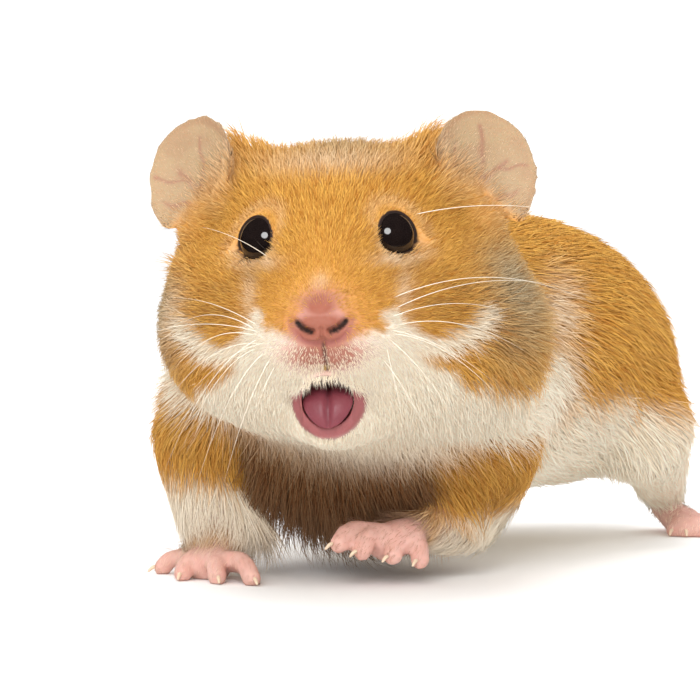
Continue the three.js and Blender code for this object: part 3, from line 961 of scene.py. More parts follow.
whiteLine = {  # how high the white reaches on the head, by the distance from the middle of the face
    "across": (0, 4, 7.5, 9.2, 10.5, 12.5, 14, 17, 22, 28),
    "height": (-14.6, -13.0, -12.2, -10.8, -13.0, -16.2, -17.6, -19.4, -20.4, -21.0),
}
collarLine = {  # the foot of the white collar, by the distance to the animal's left
    "across": (-28, -17, -12, -4, -1, 2, 9, 14, 20, 30),
    "height": (29.0, 26.5, 31.0, 31.0, 24.0, 31.0, 31.0, 24.5, 21.5, 23.0),
}
whiteStreak = ((8.6, -10.6), (13.6, -19.4), (19.2, -11.6))  # the bow of cream round the cheek's orange patch
bareSpots = {  # the hairless skin of the face: middle and half sizes
    "nosePad": ((-0.1, -19.8, -11.7), (4.0, 4.5, 3.1)),
    "hairlessPad": ((-0.1, -19.8, -11.9), (4.0, 4.5, 2.9)),
    "roseOfNose": ((-0.1, -19.8, -12.4), (4.4, 5, 2.7)),
    "lipPads": ((0.1, -17.5, -16.0), (5.4, 6, 2.8)),
    "roseOfLips": ((0.1, -17.5, -16.0), (5.4, 6, 3.0)),
    "ridge": ((-0.1, -18.5, -9.0), (2.6, 5, 2.2)),  # seen above the nose
}
bodyLine = {  # how high the cream reaches on the body
    "trunk": 22.5,
    "arms": 19.0,
    "softness": (3.2, 2.4),  # half the height of the change, on the trunk and on the arms
}
paleRing = {"radius": 4.6, "width": 0.7, "strength": 0.14, "strongerBelow": 0.36}  # round each eye
bodyPlaces = {  # where the line of the body is lower or higher: millimetres, middle and half sizes
    "shoulders": (3.0, (0, 5, 20), (60, 22, 60)),
    "haunches": (-6.0, (20, 46, 18), (16, 13, 30)),
    "liftedArm": (-10, (20, -17, 13), (8, 9, 7)),
}
# spots in the head's own frame: middle, half sizes and strength, each on both sides if twin
faceSpots = {
    "pale": [
        ((-0.3, -17, -6.0), (1.1, 3.5, 1.3), 0.30, False),  # tuft above the nose
        ((9.9, -9, -8.0), (1.0, 6, 3.6), 0.38, True),  # edge of the muzzle
        ((0.0, 6, 8.6), (9.0, 9, 1.6), 0.40, False),  # bow over the forehead
        ((8.6, -4, -3.9), (3.4, 5, 0.9), 0.60, True),  # under the eyes
        ((-20.5, 3, -10.5), (2.2, 8, 3.6), 0.55, False),
        ((28.8, 30, -9.5), (2.6, 14, 8), 1.0, True),  # crescent behind the flash
    ],
    "grey": [
        ((22.4, 9, -9.4), (3.8, 13, 7.5), 1.0, False),  # flash behind each cheek
        ((-23.5, 9, -10.5), (3.4, 12, 7), 0.9, False),
        ((1.2, 10, 11.5), (6.0, 9, 2.8), 0.65, False),  # crown
    ],
    "deep": [
        ((13.6, -1, -9.6), (4.2, 9, 3.4), 0.46, True),  # cheek
        ((10.4, -4, -5.9), (3.4, 6, 1.3), 0.42, True),
        ((-0.1, -18, -8.6), (4.2, 4, 1.9), 0.30, False),  # over the nose
        ((20.8, 2, -14.6), (1.6, 6, 1.2), 0.50, True),
        ((26.6, 16, -15.2), (1.6, 9, 1.6), 0.40, True),
        ((5.3, -9, -21.3), (1.3, 3.5, 1.1), 0.40, True),  # corners of the mouth
    ],
}


def spotted(h, kind):
    # the strongest of one kind's spots at each point
    total = np.zeros(len(h))
    for middle, halfSizes, strength, twin in faceSpots[kind]:
        for hand in ((1, -1) if twin else (1,)):
            total = np.maximum(total, strength * blob(h, np.array(middle) * [hand, 1, 1], halfSizes))
    return total


def markings(points, shares):
    # pale, grey, deep and bare, each from 0 to 1, from a point's place on the animal
    h = toHead(points)
    wobble = ripple(points, 7, 3) + 0.6 * ripple(points, 2.6, 5)
    y, z = points[:, 1], points[:, 2]
    hx, hy, hz = h.T
    headShare = shareOf(shares, "head", "jaw", "nose")
    arms = shareOf(shares, "upper_arm", "forearm")
    # the body: golden above, cream below, the golden reaching lower on the arms and the haunches
    edge = bodyLine["trunk"] + 1.6 * wobble - 9 * arms
    for place, bell in (("shoulders", blob), ("haunches", onBothSides)):
        change, *spot = bodyPlaces[place]
        edge = edge + change * bell(points, *spot)
    change, *spot = bodyPlaces["liftedArm"]
    armEdge = bodyLine["arms"] + 1.2 * wobble + change * blob(points, *spot)
    edge = edge * (1 - arms) + arms * armEdge
    soft = bodyLine["softness"][0] * (1 - arms) + bodyLine["softness"][1] * arms
    pale = 1 - rise(edge - soft, edge + soft, z)
    # brown between the forelegs, under the white collar of the throat and shoulders: the chest's brown fur
    # with painted shade added, as it lies in shade under the head and between the legs
    collarFoot = np.interp(hx, collarLine["across"], collarLine["height"]) + 0.8 * wobble
    aboveFoot = rise(collarFoot - 1, collarFoot + 1, z)
    chestBrownAndShade = rise(-4, -16, y) * (1 - aboveFoot) * (1 - headShare)
    sideways = rise(11, 15, np.abs(hx + 2))
    pale = pale * (1 - chestBrownAndShade * (1 - rise(0.5, 0.9, arms) * rise(20, 13.5, z + wobble)))
    collar = aboveFoot * (1 - rise(31, 35, z + wobble)) * rise(2, -8, y + 2 * wobble)
    # the head: white below a line, and a bow of cream round the cheek's patch
    line = np.interp(np.abs(hx), whiteLine["across"], whiteLine["height"]) + 0.5 * wobble
    facePale = 1 - rise(line - 0.9, line + 0.9, hz)
    streak = nearLine(np.stack([np.abs(hx), hz], axis=1), bentLine(*whiteStreak)) + 0.25 * wobble
    facePale = np.maximum(facePale, 0.95 * (1 - rise(0.5, 1.6, streak)))
    pale = np.maximum(pale, collar) * (1 - headShare) + headShare * facePale
    pale = np.maximum(np.maximum(pale, shareOf(shares, "jaw")), spotted(h, "pale"))
    for side in hands:
        eye = toHead(eyeMiddles[side])
        ring = np.exp(-((distance(h, eye) - paleRing["radius"]) / paleRing["width"]) ** 2)
        strength = paleRing["strength"] + paleRing["strongerBelow"] * rise(0, -3, hz - eye[2])
        pale = np.maximum(pale, ring * strength)
        pale = np.maximum(pale, rise(0.5, 0.9, shareOf(shares, f"shank_{side}")))
    stripes = rise(-0.5, 0.9, ripple(np.stack([hx * 0.35, hy * 0.3, hz], axis=1), 1.5, 8))
    # deep brown: the face's dark spots, and the chest's brown fur darkened further as painted shade
    deep = np.maximum(spotted(h, "deep") * (0.45 + 0.75 * stripes),
                      0.95 * chestBrownAndShade * (1 - 0.85 * sideways) * (1 - 0.3 * arms))
    deep = deep * (1 - 0.8 * pale * headShare * rise(6.8, 7.6, np.abs(hx)))
    nosePad, ridge = blob(h, *bareSpots["nosePad"]), 0.5 * blob(h, *bareSpots["ridge"])
    lipPads = 0.95 * blob(h, *bareSpots["lipPads"])
    paws = rise(0.35, 0.75, shareOf(shares, "forepaw", "hind_foot"))
    bare = np.clip(paws + rise(0.35, 0.6, nosePad) + lipPads + ridge, 0, 1)
    bare = np.maximum(bare, 0.35 * rise(0.3, 0.9, shareOf(shares, "forearm")))
    return np.clip(np.stack([pale, spotted(h, "grey"), deep, bare], axis=1), 0, 1)


earVeinLines = [  # across and up on the ear, in half sizes; each line is a little thinner than the one before
    ((-0.35, -0.75), (0.0, -0.2), (0.45, 0.35)), ((-0.05, -0.25), (0.35, -0.25), (0.7, -0.1)),
    ((0.1, -0.05), (0.05, 0.35), (-0.15, 0.7)), ((-0.35, -0.7), (-0.5, -0.1), (-0.55, 0.4)),
    ((0.35, 0.2), (0.6, 0.25), (0.8, 0.3)),
]


def earVeins(points, side):
    # closeness to the veins' lines, and the darker tone at the rim, at the root and in patches
    across, _, up = earPlace(toHead(points), side)
    flat = np.stack([across * hands[side] + 0.05 * ripple(points, 3, 31),
                     up + 0.05 * ripple(points, 3, 32)], axis=1)
    veins = np.zeros(len(points))
    for k, line in enumerate(earVeinLines):
        veins = np.maximum(veins, closeTo(flat, bentLine(*line, steps=40), 0.05 - 0.005 * k))
    rim = rise(0.86, 0.98, np.hypot(across, up))
    inner = rise(0.35, -0.9, up) * (1 - rise(0.2, 0.6, np.abs(across)))
    patchy = 0.3 * rise(-0.2, 0.8, ripple(points, 5, 14))
    return veins * 0.6, np.maximum(0.6 * np.maximum(rim, inner), patchy)


def skinZones(points, shares):
    # zones: ear, mouth, and the lids' dark rims with painted shade in the nostrils and cleft; veins: ear
    # veins, ear shade, lips, and the muzzle's rose
    h = toHead(points)
    y, z = h[:, 1], h[:, 2]
    ears = rise(0.4, 0.7, shareOf(shares, "ear"))
    around = mouthDepth(h)
    lower, bottom = rise(-18.6, -21, z), rise(-20.5, -23.5, z)
    inside = (1 - rise(1.0, 1.1, around)) * rise(-16 + 6 * lower, -13 + 7.5 * lower, y)
    wide = 0.05 + 0.22 * lower + 0.13 * bottom
    lips = (1 - rise(1 + 0.7 * wide, 1.12 + 1.35 * wide, around)) * rise(-2, -6, y) * rise(0, 0.4, lower)
    nostrils, cleft, creases = noseMarks(h)
    # painted shade: the nostrils and the upper cleft are coloured near black, standing in for the shade
    # inside them
    lidRimsAndNostrilShade = np.maximum(rise(0.4, 0.85, nostrils), 0.6 * rise(0.4, 0.9, cleft) * rise(-13.4, -14.2, z))
    veins, shade = np.zeros(len(points)), np.zeros(len(points))
    for side in hands:
        past, reach, _ = lidShape(h, side)
        rim = 0.8 * (1 - rise(1.5, 4.0, past)) + 0.2 * (1 - rise(4, 10, past))
        lidRimsAndNostrilShade = np.maximum(lidRimsAndNostrilShade, rim * (1 - rise(3.8, 4.4, reach)))
        near = np.flatnonzero(shareOf(shares, f"ear_{side}") > 0.2)
        veins[near], shade[near] = earVeins(points[near], side)
    lips = np.maximum(lips, 0.5 * creases)
    nose = np.clip(blob(h, *bareSpots["roseOfNose"]) * 1.7, 0, 1)
    lipPads = np.clip(1.35 * blob(h, *bareSpots["roseOfLips"]), 0, 0.9)
    ridge = np.clip(1.3 * blob(h, *bareSpots["ridge"]), 0, 1)
    muzzle = np.maximum(np.maximum(nose, lipPads), ridge)
    ones = np.ones(len(points))
    return np.stack([ears, inside, lidRimsAndNostrilShade, ones], axis=1), np.stack([veins, shade, lips, muzzle], axis=1)


marks = markings(skinPoints, skinShares)
zones, veins = skinZones(skinPoints, skinShares)
putPiece("skin", skinPoints, skinFaces, makeSkinMaterial(), replaces=fleshNodes,
         colours={"marks": marks, "zones": zones, "veins": veins})


# the coat: tufts that follow the lie of the fur

coatSpots = {  # places in the head's own frame where the coat changes: middle and half sizes
    "earRoots": ((14, 16, 8.7), (4.8, 6, 4.6)),  # the long tufts before the ears
    "earFront": ((19, 12, 2), (5.2, 6, 7)),
    "innerEar": ((12.8, 16.5, 11.5), (3.2, 6, 7)),
    "crown": ((1, 12, 11), (12, 8, 4)),
    "cheekTuft": ((-20.5, 5, -4), (2.5, 5, 2)),
}


furWays = {  # what is added to each part's own direction: across, back and up
    "neck": (0, 0, -0.35),
    "flanks": (0, 0, -0.55),  # of the trunk, nothing along its middle
    "tail": (0, 1, -0.5),
    "arms": (0, 0.2, -0.4),
    "thighs": (0, 0, -0.8),
    "shanks": (0, 0.2, 0),
    "paws": (0.1, -1.0, -0.3),
}


def lieOfFur(points, normals, shares):
    # each part's own direction, mixed by the shares, laid into the surface
    h = toHead(points)
    nose = fromHead(np.array([[0, -22, -9]]))[0]
    fromNose = unit(points - nose)
    back = np.array([0, 1.0, 0])
    extra = {part: np.array(way) for part, way in furWays.items()}
    # the head: away from the nose, parted by the ears, and hanging at the cheeks
    besideEars = onBothSides(h, *coatSpots["earRoots"], signed=True)
    downward = rise(-11, -22, h[:, 2]) * rise(6, 14, distance(points, nose))
    headWay = fromNose + 0.35 * headY + 1.1 * besideEars[:, None] * headX - downward[:, None] * headZ
    flank = np.clip(np.abs(points[:, :1]) / 27, 0, 1)
    ways = {
        ("head", "jaw", "nose"): headWay,
        ("neck",): unit(fromNose * 0.8 + back * 0.9 + extra["neck"]),
        ("trunk",): unit(back + extra["flanks"] * flank),
        ("tail",): unit(extra["tail"]),
    }
    for side in hands:
        toPaw, toFoot = (unit(middleOf(f"{part}_{side}") - points) for part in ("forepaw", "hind_foot"))
        low, high = boxOf(f"ear_{side}")
        root = np.array([(low[0] + high[0]) / 2, (low[1] + high[1]) / 2, low[2]])
        root = root + (headOrigin - root) * 0.25
        ways |= {
            (f"upper_arm_{side}", f"forearm_{side}"): unit(toPaw + extra["arms"]),
            (f"forepaw_{side}",): extra["paws"],
            (f"thigh_{side}",): unit(back * 0.7 + extra["thighs"]),
            (f"shank_{side}",): unit(toFoot + extra["shanks"]),
            (f"hind_foot_{side}",): extra["paws"],
            (f"ear_{side}",): unit(points - root),
        }
    return laidInto(sum(shareOf(shares, *parts)[:, None] * way for parts, way in ways.items()), normals)


def turningOf(points, faces, edges, normals, lie):
    # how fast the surface turns away along the lie, per millimetre: the change of normal over each face
    soft = unit(relaxed(normals, edges, 0.6, 25))
    p0, p1, p2 = cornersOf(points, faces)
    e1, e2 = p1 - p0, p2 - p0
    way = lie[faces[:, 0]]
    g11, g12, g22 = (e1 * e1).sum(1), (e1 * e2).sum(1), (e2 * e2).sum(1)
    w1, w2 = (way * e1).sum(1), (way * e2).sum(1)
    below = np.maximum(g11 * g22 - g12 * g12, 1e-9)
    a, b = (w1 * g22 - w2 * g12) / below, (w2 * g11 - w1 * g12) / below
    n0, n1, n2 = cornersOf(soft, faces)
    change = a[:, None] * (n1 - n0) + b[:, None] * (n2 - n0)
    bend = np.clip((change * way).sum(1), -0.15, 0.15)
    total = sum(np.bincount(faces[:, i], bend, len(points)) for i in range(3))
    count = sum(np.bincount(faces[:, i], minlength=len(points)) for i in range(3))
    return relaxed(total / np.maximum(count, 1), edges, 0.6, 20), soft


tuftRings = {  # by the number of rings: their places along the tuft and how full each is
    2: ((0.0, 0.5), (0.8, 0.9)),
    3: ((0.0, 0.38, 0.74), (0.75, 1.0, 0.62)),
}
tuftShape = {
    "section": ((-1.0, -0.25), (1.0, -0.25), (0.0, 0.75)),  # its three corners, in half widths
    "bend": (1.7, 0.7),  # slope at the root, and how fast the tuft bends over from it
    "sway": 0.07,  # sideways, at random
    "rootDepth": 0.12,  # how far the first ring is sunk
}


def tufts(roots, rings, seed):
    # each tuft is a three-sided spike: its middle line leaves the skin at a slant, bends over to follow
    # the surface and drifts towards its clump; root ring sunk a little, tip a single point
    point, normal, lie, length = (roots[key] for key in ("point", "normal", "lie", "length"))
    number = len(point)
    side = unit(np.cross(normal, lie))
    steps, fullness = tuftRings[rings]
    corners = np.array(tuftShape["section"]) / 2
    steep, over = tuftShape["bend"]
    sway = np.random.default_rng(seed).normal(0, tuftShape["sway"], number)

    def lineAt(s):
        along = length * s
        height = roots["lift"] * length * (steep * s - over * s * s)
        height = height - 0.5 * roots["turning"] * along ** 2 - tuftShape["rootDepth"] * (s == 0)
        return (point + lie * along[:, None] + normal * height[:, None]
                + side * (sway * along * s)[:, None] + roots["pull"] * s ** 1.5)

    points = np.empty((number, rings * 3 + 1, 3))
    for j, (s, full) in enumerate(zip(steps, fullness)):
        middle = lineAt(s)
        for k, (a, b) in enumerate(corners):
            points[:, j * 3 + k] = middle + (side * a + normal * b) * (roots["width"] * full)[:, None]
    points[:, -1] = lineAt(1.0)
    faces = [(0, 2, 1)]
    for j in range(rings - 1):
        for k in range(3):
            a, b = j * 3 + k, j * 3 + (k + 1) % 3
            faces += [(a, b, b + 3), (a, b + 3, a + 3)]
    last = (rings - 1) * 3
    faces += [(last + k, last + (k + 1) % 3, rings * 3) for k in range(3)]
    along = np.array([s for s in steps for _ in range(3)] + [1.0])
    around = np.array([0.0, 1.0, 0.5] * rings + [0.5])
    return points.reshape(-1, 3), repeated(np.array(faces), number, rings * 3 + 1), along, around


def clumpPull(root, length, size, strength, seed):
    # tufts whose roots share a wavy cell lean together towards the cell's middle root
    bent = root + 0.6 * size * np.stack([ripple(root, size * 3, seed + k) for k in range(3)], axis=1)
    _, cell = np.unique(np.floor(bent / size).astype(int), axis=0, return_inverse=True)
    cell = cell.ravel()
    count = np.bincount(cell)
    middle = np.stack([np.bincount(cell, root[:, k]) / count for k in range(3)], axis=1)
    pull = (middle[cell] - root) * strength
    most = 0.35 * length
    return pull * np.minimum(1, most / np.maximum(distance(pull, 0), 1e-6))[:, None]


def roundUnwrap(points, centre, pole):
    # the skin opened flat about the pole: distance from it is the angle seen from the centre inside
    pole = unit(np.array(pole, float))
    east = unit(np.cross([0.3, 0.2, 1.0], pole))
    north = np.cross(pole, east)
    ways = unit(points - centre)
    angle = np.arccos(np.clip(ways @ pole, -1, 1))
    flat = np.stack([ways @ east, ways @ north], axis=1)
    flat = unit(flat) * angle[:, None]
    low, high = flat.min(0), flat.max(0)
    return 0.02 + 0.96 * (flat - low) / (high - low)


coatChance = {  # how tufts differ from their neighbours
    "turn": 0.16,
    "factors": (("length", 0.72, 1.22), ("width", 0.8, 1.2), ("lift", 0.7, 1.35)),  # least and most
    "tone": (0.5, 0.3),  # mean and spread
}
clumps = {"small": (1.1, 0.4, 22), "large": (2.2, 0.4, 21), "largeFrom": 3.4}  # size, strength and seed
longFrom = 8.2  # tufts longer than this have three rings

# parts added at each place to the tufts' length, width and density, and how much their lift grows
coatChanges = {
    "face": {"width": -0.35, "density": 0.6},
    "faceAboveChin": {"length": -0.64},
    "cheeks": {"length": 1.4},
    "earFront": {"length": -0.5},
    "earRoots": {"length": 1.2, "lift": 0.7, "density": 0.8},
    "innerEar": {"length": 6.0, "width": 1.2, "density": 3.0},
    "crown": {"length": 0.7, "lift": 0.2},
    "cheekTuft": {"length": 1.2, "lift": 0.4},
    "ruff": {"lift": 0.22},
    "aboveMouth": {"length": 1.0, "density": 0.8},
    "collar": {"lift": 0.05},
    "under": {"lift": 0.12},
    "hanging": {"width": -0.35, "density": 1.7},
    "hangingBrown": {"lift": 0.35},
    "hangingLonger": {"length": 0.8},
    "innerArm": {"length": 0.65, "lift": 0.22, "density": 0.5},
    "pawBacks": {"length": 0.8},
    "eyeNear": {"density": 1.0},
    "lidward": {"length": -1.0},
    "nosePad": {"density": -0.9},
    "bare": {"density": -0.78},
    "naked": {"density": -1.0},
    "hidden": {"density": -0.5},
}


def coatPlaces(h, lie):
    # how much each point of the skin belongs to each place where the coat changes
    def share(*parts):
        return shareOf(skinShares, *parts)

    hx, hy, hz = h.T
    y, z = skinPoints[:, 1], skinPoints[:, 2]
    up = skinNormals[:, 2]
    head = share("head", "jaw", "nose")
    fromNose = fromNoseTip(h)
    face = head * (1 - rise(6, 30, fromNose))
    eyeNear = eyeNearness(skinPoints, 3.9, 5.6)
    towardsEye = sum(np.clip((unit(eyeMiddles[side] - skinPoints) * lie).sum(1), 0, 1)
                     * (distance(skinPoints, eyeMiddles[side]) < 7) for side in hands)
    under = rise(-0.1, -0.6, up) * share("trunk", "neck") * rise(10, -5, y)
    hanging = under * rise(-6, -16, y) * rise(13, 8, np.abs(hx + 2)) * (1 - 0.45 * rise(-2, 5, hx))
    brown = 1 - marks[:, 0]
    aboveMouth = 1 - rise(0.35, 1.0, np.abs(mouthDepth(h) - 1.25) / 0.2)
    innerArm = share("upper_arm_right", "forearm_right") * rise(0.1, 0.8, skinNormals @ headX)
    return {
        "face": face,
        "faceAboveChin": face * (1 - 0.75 * head * rise(-23, -27, hz)),
        "cheeks": head * rise(17, 32, fromNose) * rise(-4, -14, hz) * (1 - 0.65 * rise(-25, -28, hz)),
        "earFront": np.clip(onBothSides(h, *coatSpots["earFront"]), 0, 1),
        "earRoots": np.clip(onBothSides(h, *coatSpots["earRoots"]) * head * 1.2, 0, 1),
        "innerEar": rise(0.2, 0.8, onBothSides(h, *coatSpots["innerEar"]) * share("ear")),
        "crown": blob(h, *coatSpots["crown"]) * head,
        "cheekTuft": blob(h, *coatSpots["cheekTuft"]) * head,
        "ruff": rise(19, 26, hx) * head * rise(2, -4, hz),
        "aboveMouth": aboveMouth * rise(-21, -19.6, hz) * head * rise(-8, -11, hy),
        "collar": share("neck") * rise(15, 19, z) * rise(34, 30, z),
        "under": under,
        "hanging": hanging,
        "hangingBrown": hanging * brown,
        "hangingLonger": hanging * (brown - 0.375 * (1 - brown)),
        "innerArm": innerArm * rise(4, 9, z) * rise(27, 20, z),  # of the foreleg that stands
        "pawBacks": share("forepaw", "hind_foot") * rise(0, 0.6, up),
        "eyeNear": eyeNear,
        "lidward": eyeNear * (0.5 + 0.4 * towardsEye),
        "nosePad": rise(0.3, 0.55, blob(h, *bareSpots["hairlessPad"])),
        "bare": marks[:, 3],
        "naked": np.clip(zones[:, 1] + rise(0.35, 0.8, zones[:, 2]) + rise(0.75, 1.0, veins[:, 2]), 0, 1),
        "hidden": share("trunk") * rise(6, 2, z),
    }


def coatFields(places):
    # the parts' numbers, changed by each place, and the marks that the tufts carry
    fields = {what: coatField(skinShares, what) for what in coatColumns[1:]}
    for place, changes in coatChanges.items():
        for what, change in changes.items():
            if what == "lift":
                fields[what] = fields[what] + change * places[place]
            else:
                fields[what] = fields[what] * (1 + change * places[place])
    fields["lift"] = fields["lift"] * (1 - 0.5 * places["eyeNear"])
    paws, ears = shareOf(skinShares, "forepaw", "hind_foot"), shareOf(skinShares, "ear")
    fields["marks"] = marks.copy()
    fields["marks"][:, 0] = np.maximum(marks[:, 0], np.maximum(paws, 0.55 * ears * (1 - places["innerEar"])))
    fields["marks"][:, 3] = marks[:, 3] * (0.1 + 0.25 * paws)
    return fields


def coatRoots():
    # scatters the tufts' roots and gives each its own direction, size, tone and pull
    lie = lieOfFur(skinPoints, skinNormals, skinShares)
    turning, softNormals = turningOf(skinPoints, skinFaces, skinEdges, skinNormals, lie)
    lie = unit(relaxed(lie, skinEdges, 0.6, 30))
    lie = laidInto(lie, skinNormals)
    places = coatPlaces(toHead(skinPoints), lie)
    fields = coatFields(places)
    rng = np.random.default_rng(11)
    face, weights = samplesOn(skinPoints, skinFaces, fields["density"][skinFaces].mean(1), rng)
    number = len(face)

    def read(values):
        return atSamples(values, skinFaces, face, weights)

    point, normal, way = read(skinPoints), unit(read(softNormals)), unit(read(lie))
    way = laidInto(way, normal)
    way = unit(way + rng.normal(0, coatChance["turn"], (number, 1)) * np.cross(normal, way))
    length, width, lift = (read(fields[what]) * rng.uniform(least, most, number)
                           for what, least, most in coatChance["factors"])
    pull = np.where((length > clumps["largeFrom"])[:, None], clumpPull(point, length, *clumps["large"]),
                    clumpPull(point, length, *clumps["small"]))
    return {
        "point": point, "normal": normal, "lie": way, "length": length, "width": width, "lift": lift,
        "turning": read(turning * (1 - 0.85 * places["eyeNear"])), "marks": read(fields["marks"]),
        "pull": pull * (1 - 0.6 * read(places["hanging"]))[:, None],
        "tone": np.clip(rng.normal(*coatChance["tone"], number), 0, 1),
    }, np.stack([read(row) for row in skinShares])


def zonesOf(roots, shares):
    # which piece of the coat each tuft belongs to
    zone = np.full(len(roots["point"]), "trunk", dtype=object)
    for side in hands:
        zone[sum(shareOf(shares, f"{part}_{side}") for part in foreParts) > 0.5] = f"foreleg_{side}"
        zone[sum(shareOf(shares, f"{part}_{side}") for part in hindParts) > 0.5] = f"hindleg_{side}"
    zone[shareOf(shares, "neck") > 0.5] = "neck"
    zone[shareOf(shares, "head", "jaw", "nose") > 0.5] = "head"
    isEar, isLeft = shareOf(shares, "ear") > 0.5, roots["point"] @ headX > headOrigin @ headX
    zone[isEar & isLeft], zone[isEar & ~isLeft] = "ear_left", "ear_right"
    return zone


roots, rootShares = coatRoots()
zoneOf = zonesOf(roots, rootShares)
isLong = roots["length"] > longFrom
print("tufts", len(isLong), "of them long", int(isLong.sum()))

poles = {  # for each zone, the point inside that it is unwrapped round, and the way to its middle
    "head": (fromHead(np.array([[0, 8, -9]]))[0], -headY), "neck": (middleOf("neck"), -headY + [0, 0, 0.3]),
    "trunk": (middleOf("trunk"), np.array([0, 0.2, 1.0])),
}
for side, hand in hands.items():
    poles[f"ear_{side}"] = (middleOf(f"ear_{side}") + 8 * headY, -headY)
    poles[f"foreleg_{side}"] = (middleOf(f"forearm_{side}"), np.array([hand, -0.4, 0.2]))
    poles[f"hindleg_{side}"] = (middleOf(f"thigh_{side}"), np.array([hand, 0.1, 0.3]))

coatMaterial = makeCoatMaterial()
mostTriangles = 190000  # in one piece
patchSize = 0.003  # of each tuft on the OFBake map


def putTufts(name, zone, some, rings, seed):
    # one piece of coat, each tuft with its own small patch of the map
    chosen = {key: values[some] for key, values in roots.items()}
    points, faces, along, around = tufts(chosen, rings, seed)
    points[:, 2] = np.maximum(points[:, 2], aboveFloor + 0.01)
    each = rings * 3 + 1
    patch = np.repeat(roundUnwrap(chosen["point"], *poles[zone]), each, axis=0)
    patch = patch + np.tile(np.stack([around - 0.5, along - 0.5], axis=1) * patchSize, (len(some), 1))
    strand = np.ones((len(some) * each, 4))
    strand[:, 0] = np.tile(along, len(some))
    strand[:, 1] = np.repeat(chosen["tone"], each)
    putPiece(name, points, faces, coatMaterial,
             colours={"marks": np.repeat(chosen["marks"], each, axis=0), "strand": strand},
             form=np.repeat(chosen["normal"], each, axis=0), patch=patch)
    print(name, len(some), "tufts", len(faces), "triangles")


for zone in sorted(poles):
    for kind, rings, alike in (("long", 3, isLong), ("short", 2, ~isLong)):
        places = np.flatnonzero((zoneOf == zone) & alike)
        pieces = math.ceil(len(places) * (6 * rings - 2) / mostTriangles)
        for part in range(pieces):
            some = np.array_split(places, pieces)[part]
            putTufts(f"coat_{zone}_{kind}_{part + 1}", zone, some, rings, 100 + part)


# eyes

def ballPoints(rows, columns):
    # a sphere of radius 1: latitude down the rows, longitude along the columns
    latitude = np.linspace(0, math.pi, rows)[:, None]
    longitude = np.linspace(0, 2 * math.pi, columns, endpoint=False)[None, :]
    return np.stack([np.sin(latitude) * np.cos(longitude), np.sin(latitude) * np.sin(longitude),
                     np.cos(latitude) * np.ones_like(longitude)], axis=-1).reshape(-1, 3)


def mottled(made, first, second, scale, detail=3, bumps=None):
    # two colours mixed by a noise, over the bumps of a finer one: its scale, strength and depth
    material, tree, shader = made
    tree.links.new(mixed(tree, grain(tree, scale, detail), first, second), shader.inputs["Base Color"])
    if bumps:
        raised(tree, shader, grain(tree, bumps[0], 2), *bumps[1:])
    return material


eyeMaterial = mottled(newMaterial("eyeBlack", Roughness=0.07, IOR=1.7),
                      (0.006, 0.004, 0.004, 1), (0.014, 0.009, 0.008, 1), 900, 2)
for side in hands:
    ball = ballPoints(41, 64) * eyeSet["radius"] + eyeMiddles[side]
    faces = gridFaces(41, 64)[:, ::-1]
    putPiece(f"eyeball_{side}", ball, faces, eyeMaterial, replaces=[f"eye_{side}"])
print("eyes")


# tongue and teeth

tongue = {
    "path": ((-0.3, 0.5, -22.6), (-0.3, -5.0, -19.8), (-0.3, -10.0, -19.8), (-0.35, -10.6, -25.6)),
    "halfWidth": 3.4,
    "halfThickness": 1.1,
    "groove": 0.9,
}


def alongPath(corners, s):
    # a cubic curve through its four guiding corners, and its direction
    a, b, c, d = (np.array(corner, float) for corner in corners)
    s = s[:, None]
    place = (1 - s) ** 3 * a + 3 * (1 - s) ** 2 * s * b + 3 * (1 - s) * s ** 2 * c + s ** 3 * d
    way = 3 * (1 - s) ** 2 * (b - a) + 6 * (1 - s) * s * (c - b) + 3 * s ** 2 * (d - c)
    return place, unit(way)


def tonguePoints(rows, columns):
    # flattened rounds along the path, closing at both ends, with a groove down the upper side
    s = (1 - np.cos(np.linspace(0, math.pi, rows))) / 2
    place, way = alongPath(tongue["path"], s)
    across = np.array([1.0, 0, 0])
    off = unit(np.cross(np.broadcast_to(across, way.shape), way))
    off = off * np.sign(off[:, 2:3] - off[:, 1:2])
    full = np.sqrt(np.clip(1 - np.clip((s - 0.7) / 0.3, 0, 1) ** 2, 0, 1)) * np.sqrt(np.clip(s / 0.12, 0, 1))
    turn = np.linspace(0, 2 * math.pi, columns, endpoint=False)
    x = tongue["halfWidth"] * full[:, None] * np.cos(turn)[None]
    z = tongue["halfThickness"] * full[:, None] * np.sin(turn)[None]
    groove = tongue["groove"] * full[:, None] * np.exp(-((x - 0.1) / 0.36) ** 2)
    z = z - groove * np.maximum(np.sin(turn), 0)[None]
    return (place[:, None] + x[..., None] * across + z[..., None] * off[:, None]).reshape(-1, 3)


teeth = {
    "middles": (-0.28, 0.32),
    "top": (-12.9, -14.5),  # back and up from the point between the eyes
    "halfWidth": 0.28,
    "halfDepth": 0.42,
    "length": 3.4,
}


def toothPoints(rows, columns, middle):
    # one curved tooth: rounded squares along an arc, narrowing to a chisel edge
    s = np.linspace(0, 1, rows)
    full = np.sqrt(np.clip(1 - (2 * np.abs(s - 0.5)) ** 8, 0, 1))[:, None]
    s = s[:, None]
    turn = np.linspace(0, 2 * math.pi, columns, endpoint=False)
    wide, deep = (np.sign(wave) * np.abs(wave) ** 0.6 for wave in (np.cos(turn), np.sin(turn)))
    x = teeth["halfWidth"] * full * wide * (1 - 0.2 * s)
    y = teeth["halfDepth"] * full * deep * (1 - 0.5 * s) + (s - 0.3) ** 2
    z = -teeth["length"] * s * np.ones_like(x)
    return (np.stack([x, y, z], axis=-1) + np.array((middle, *teeth["top"]))).reshape(-1, 3)


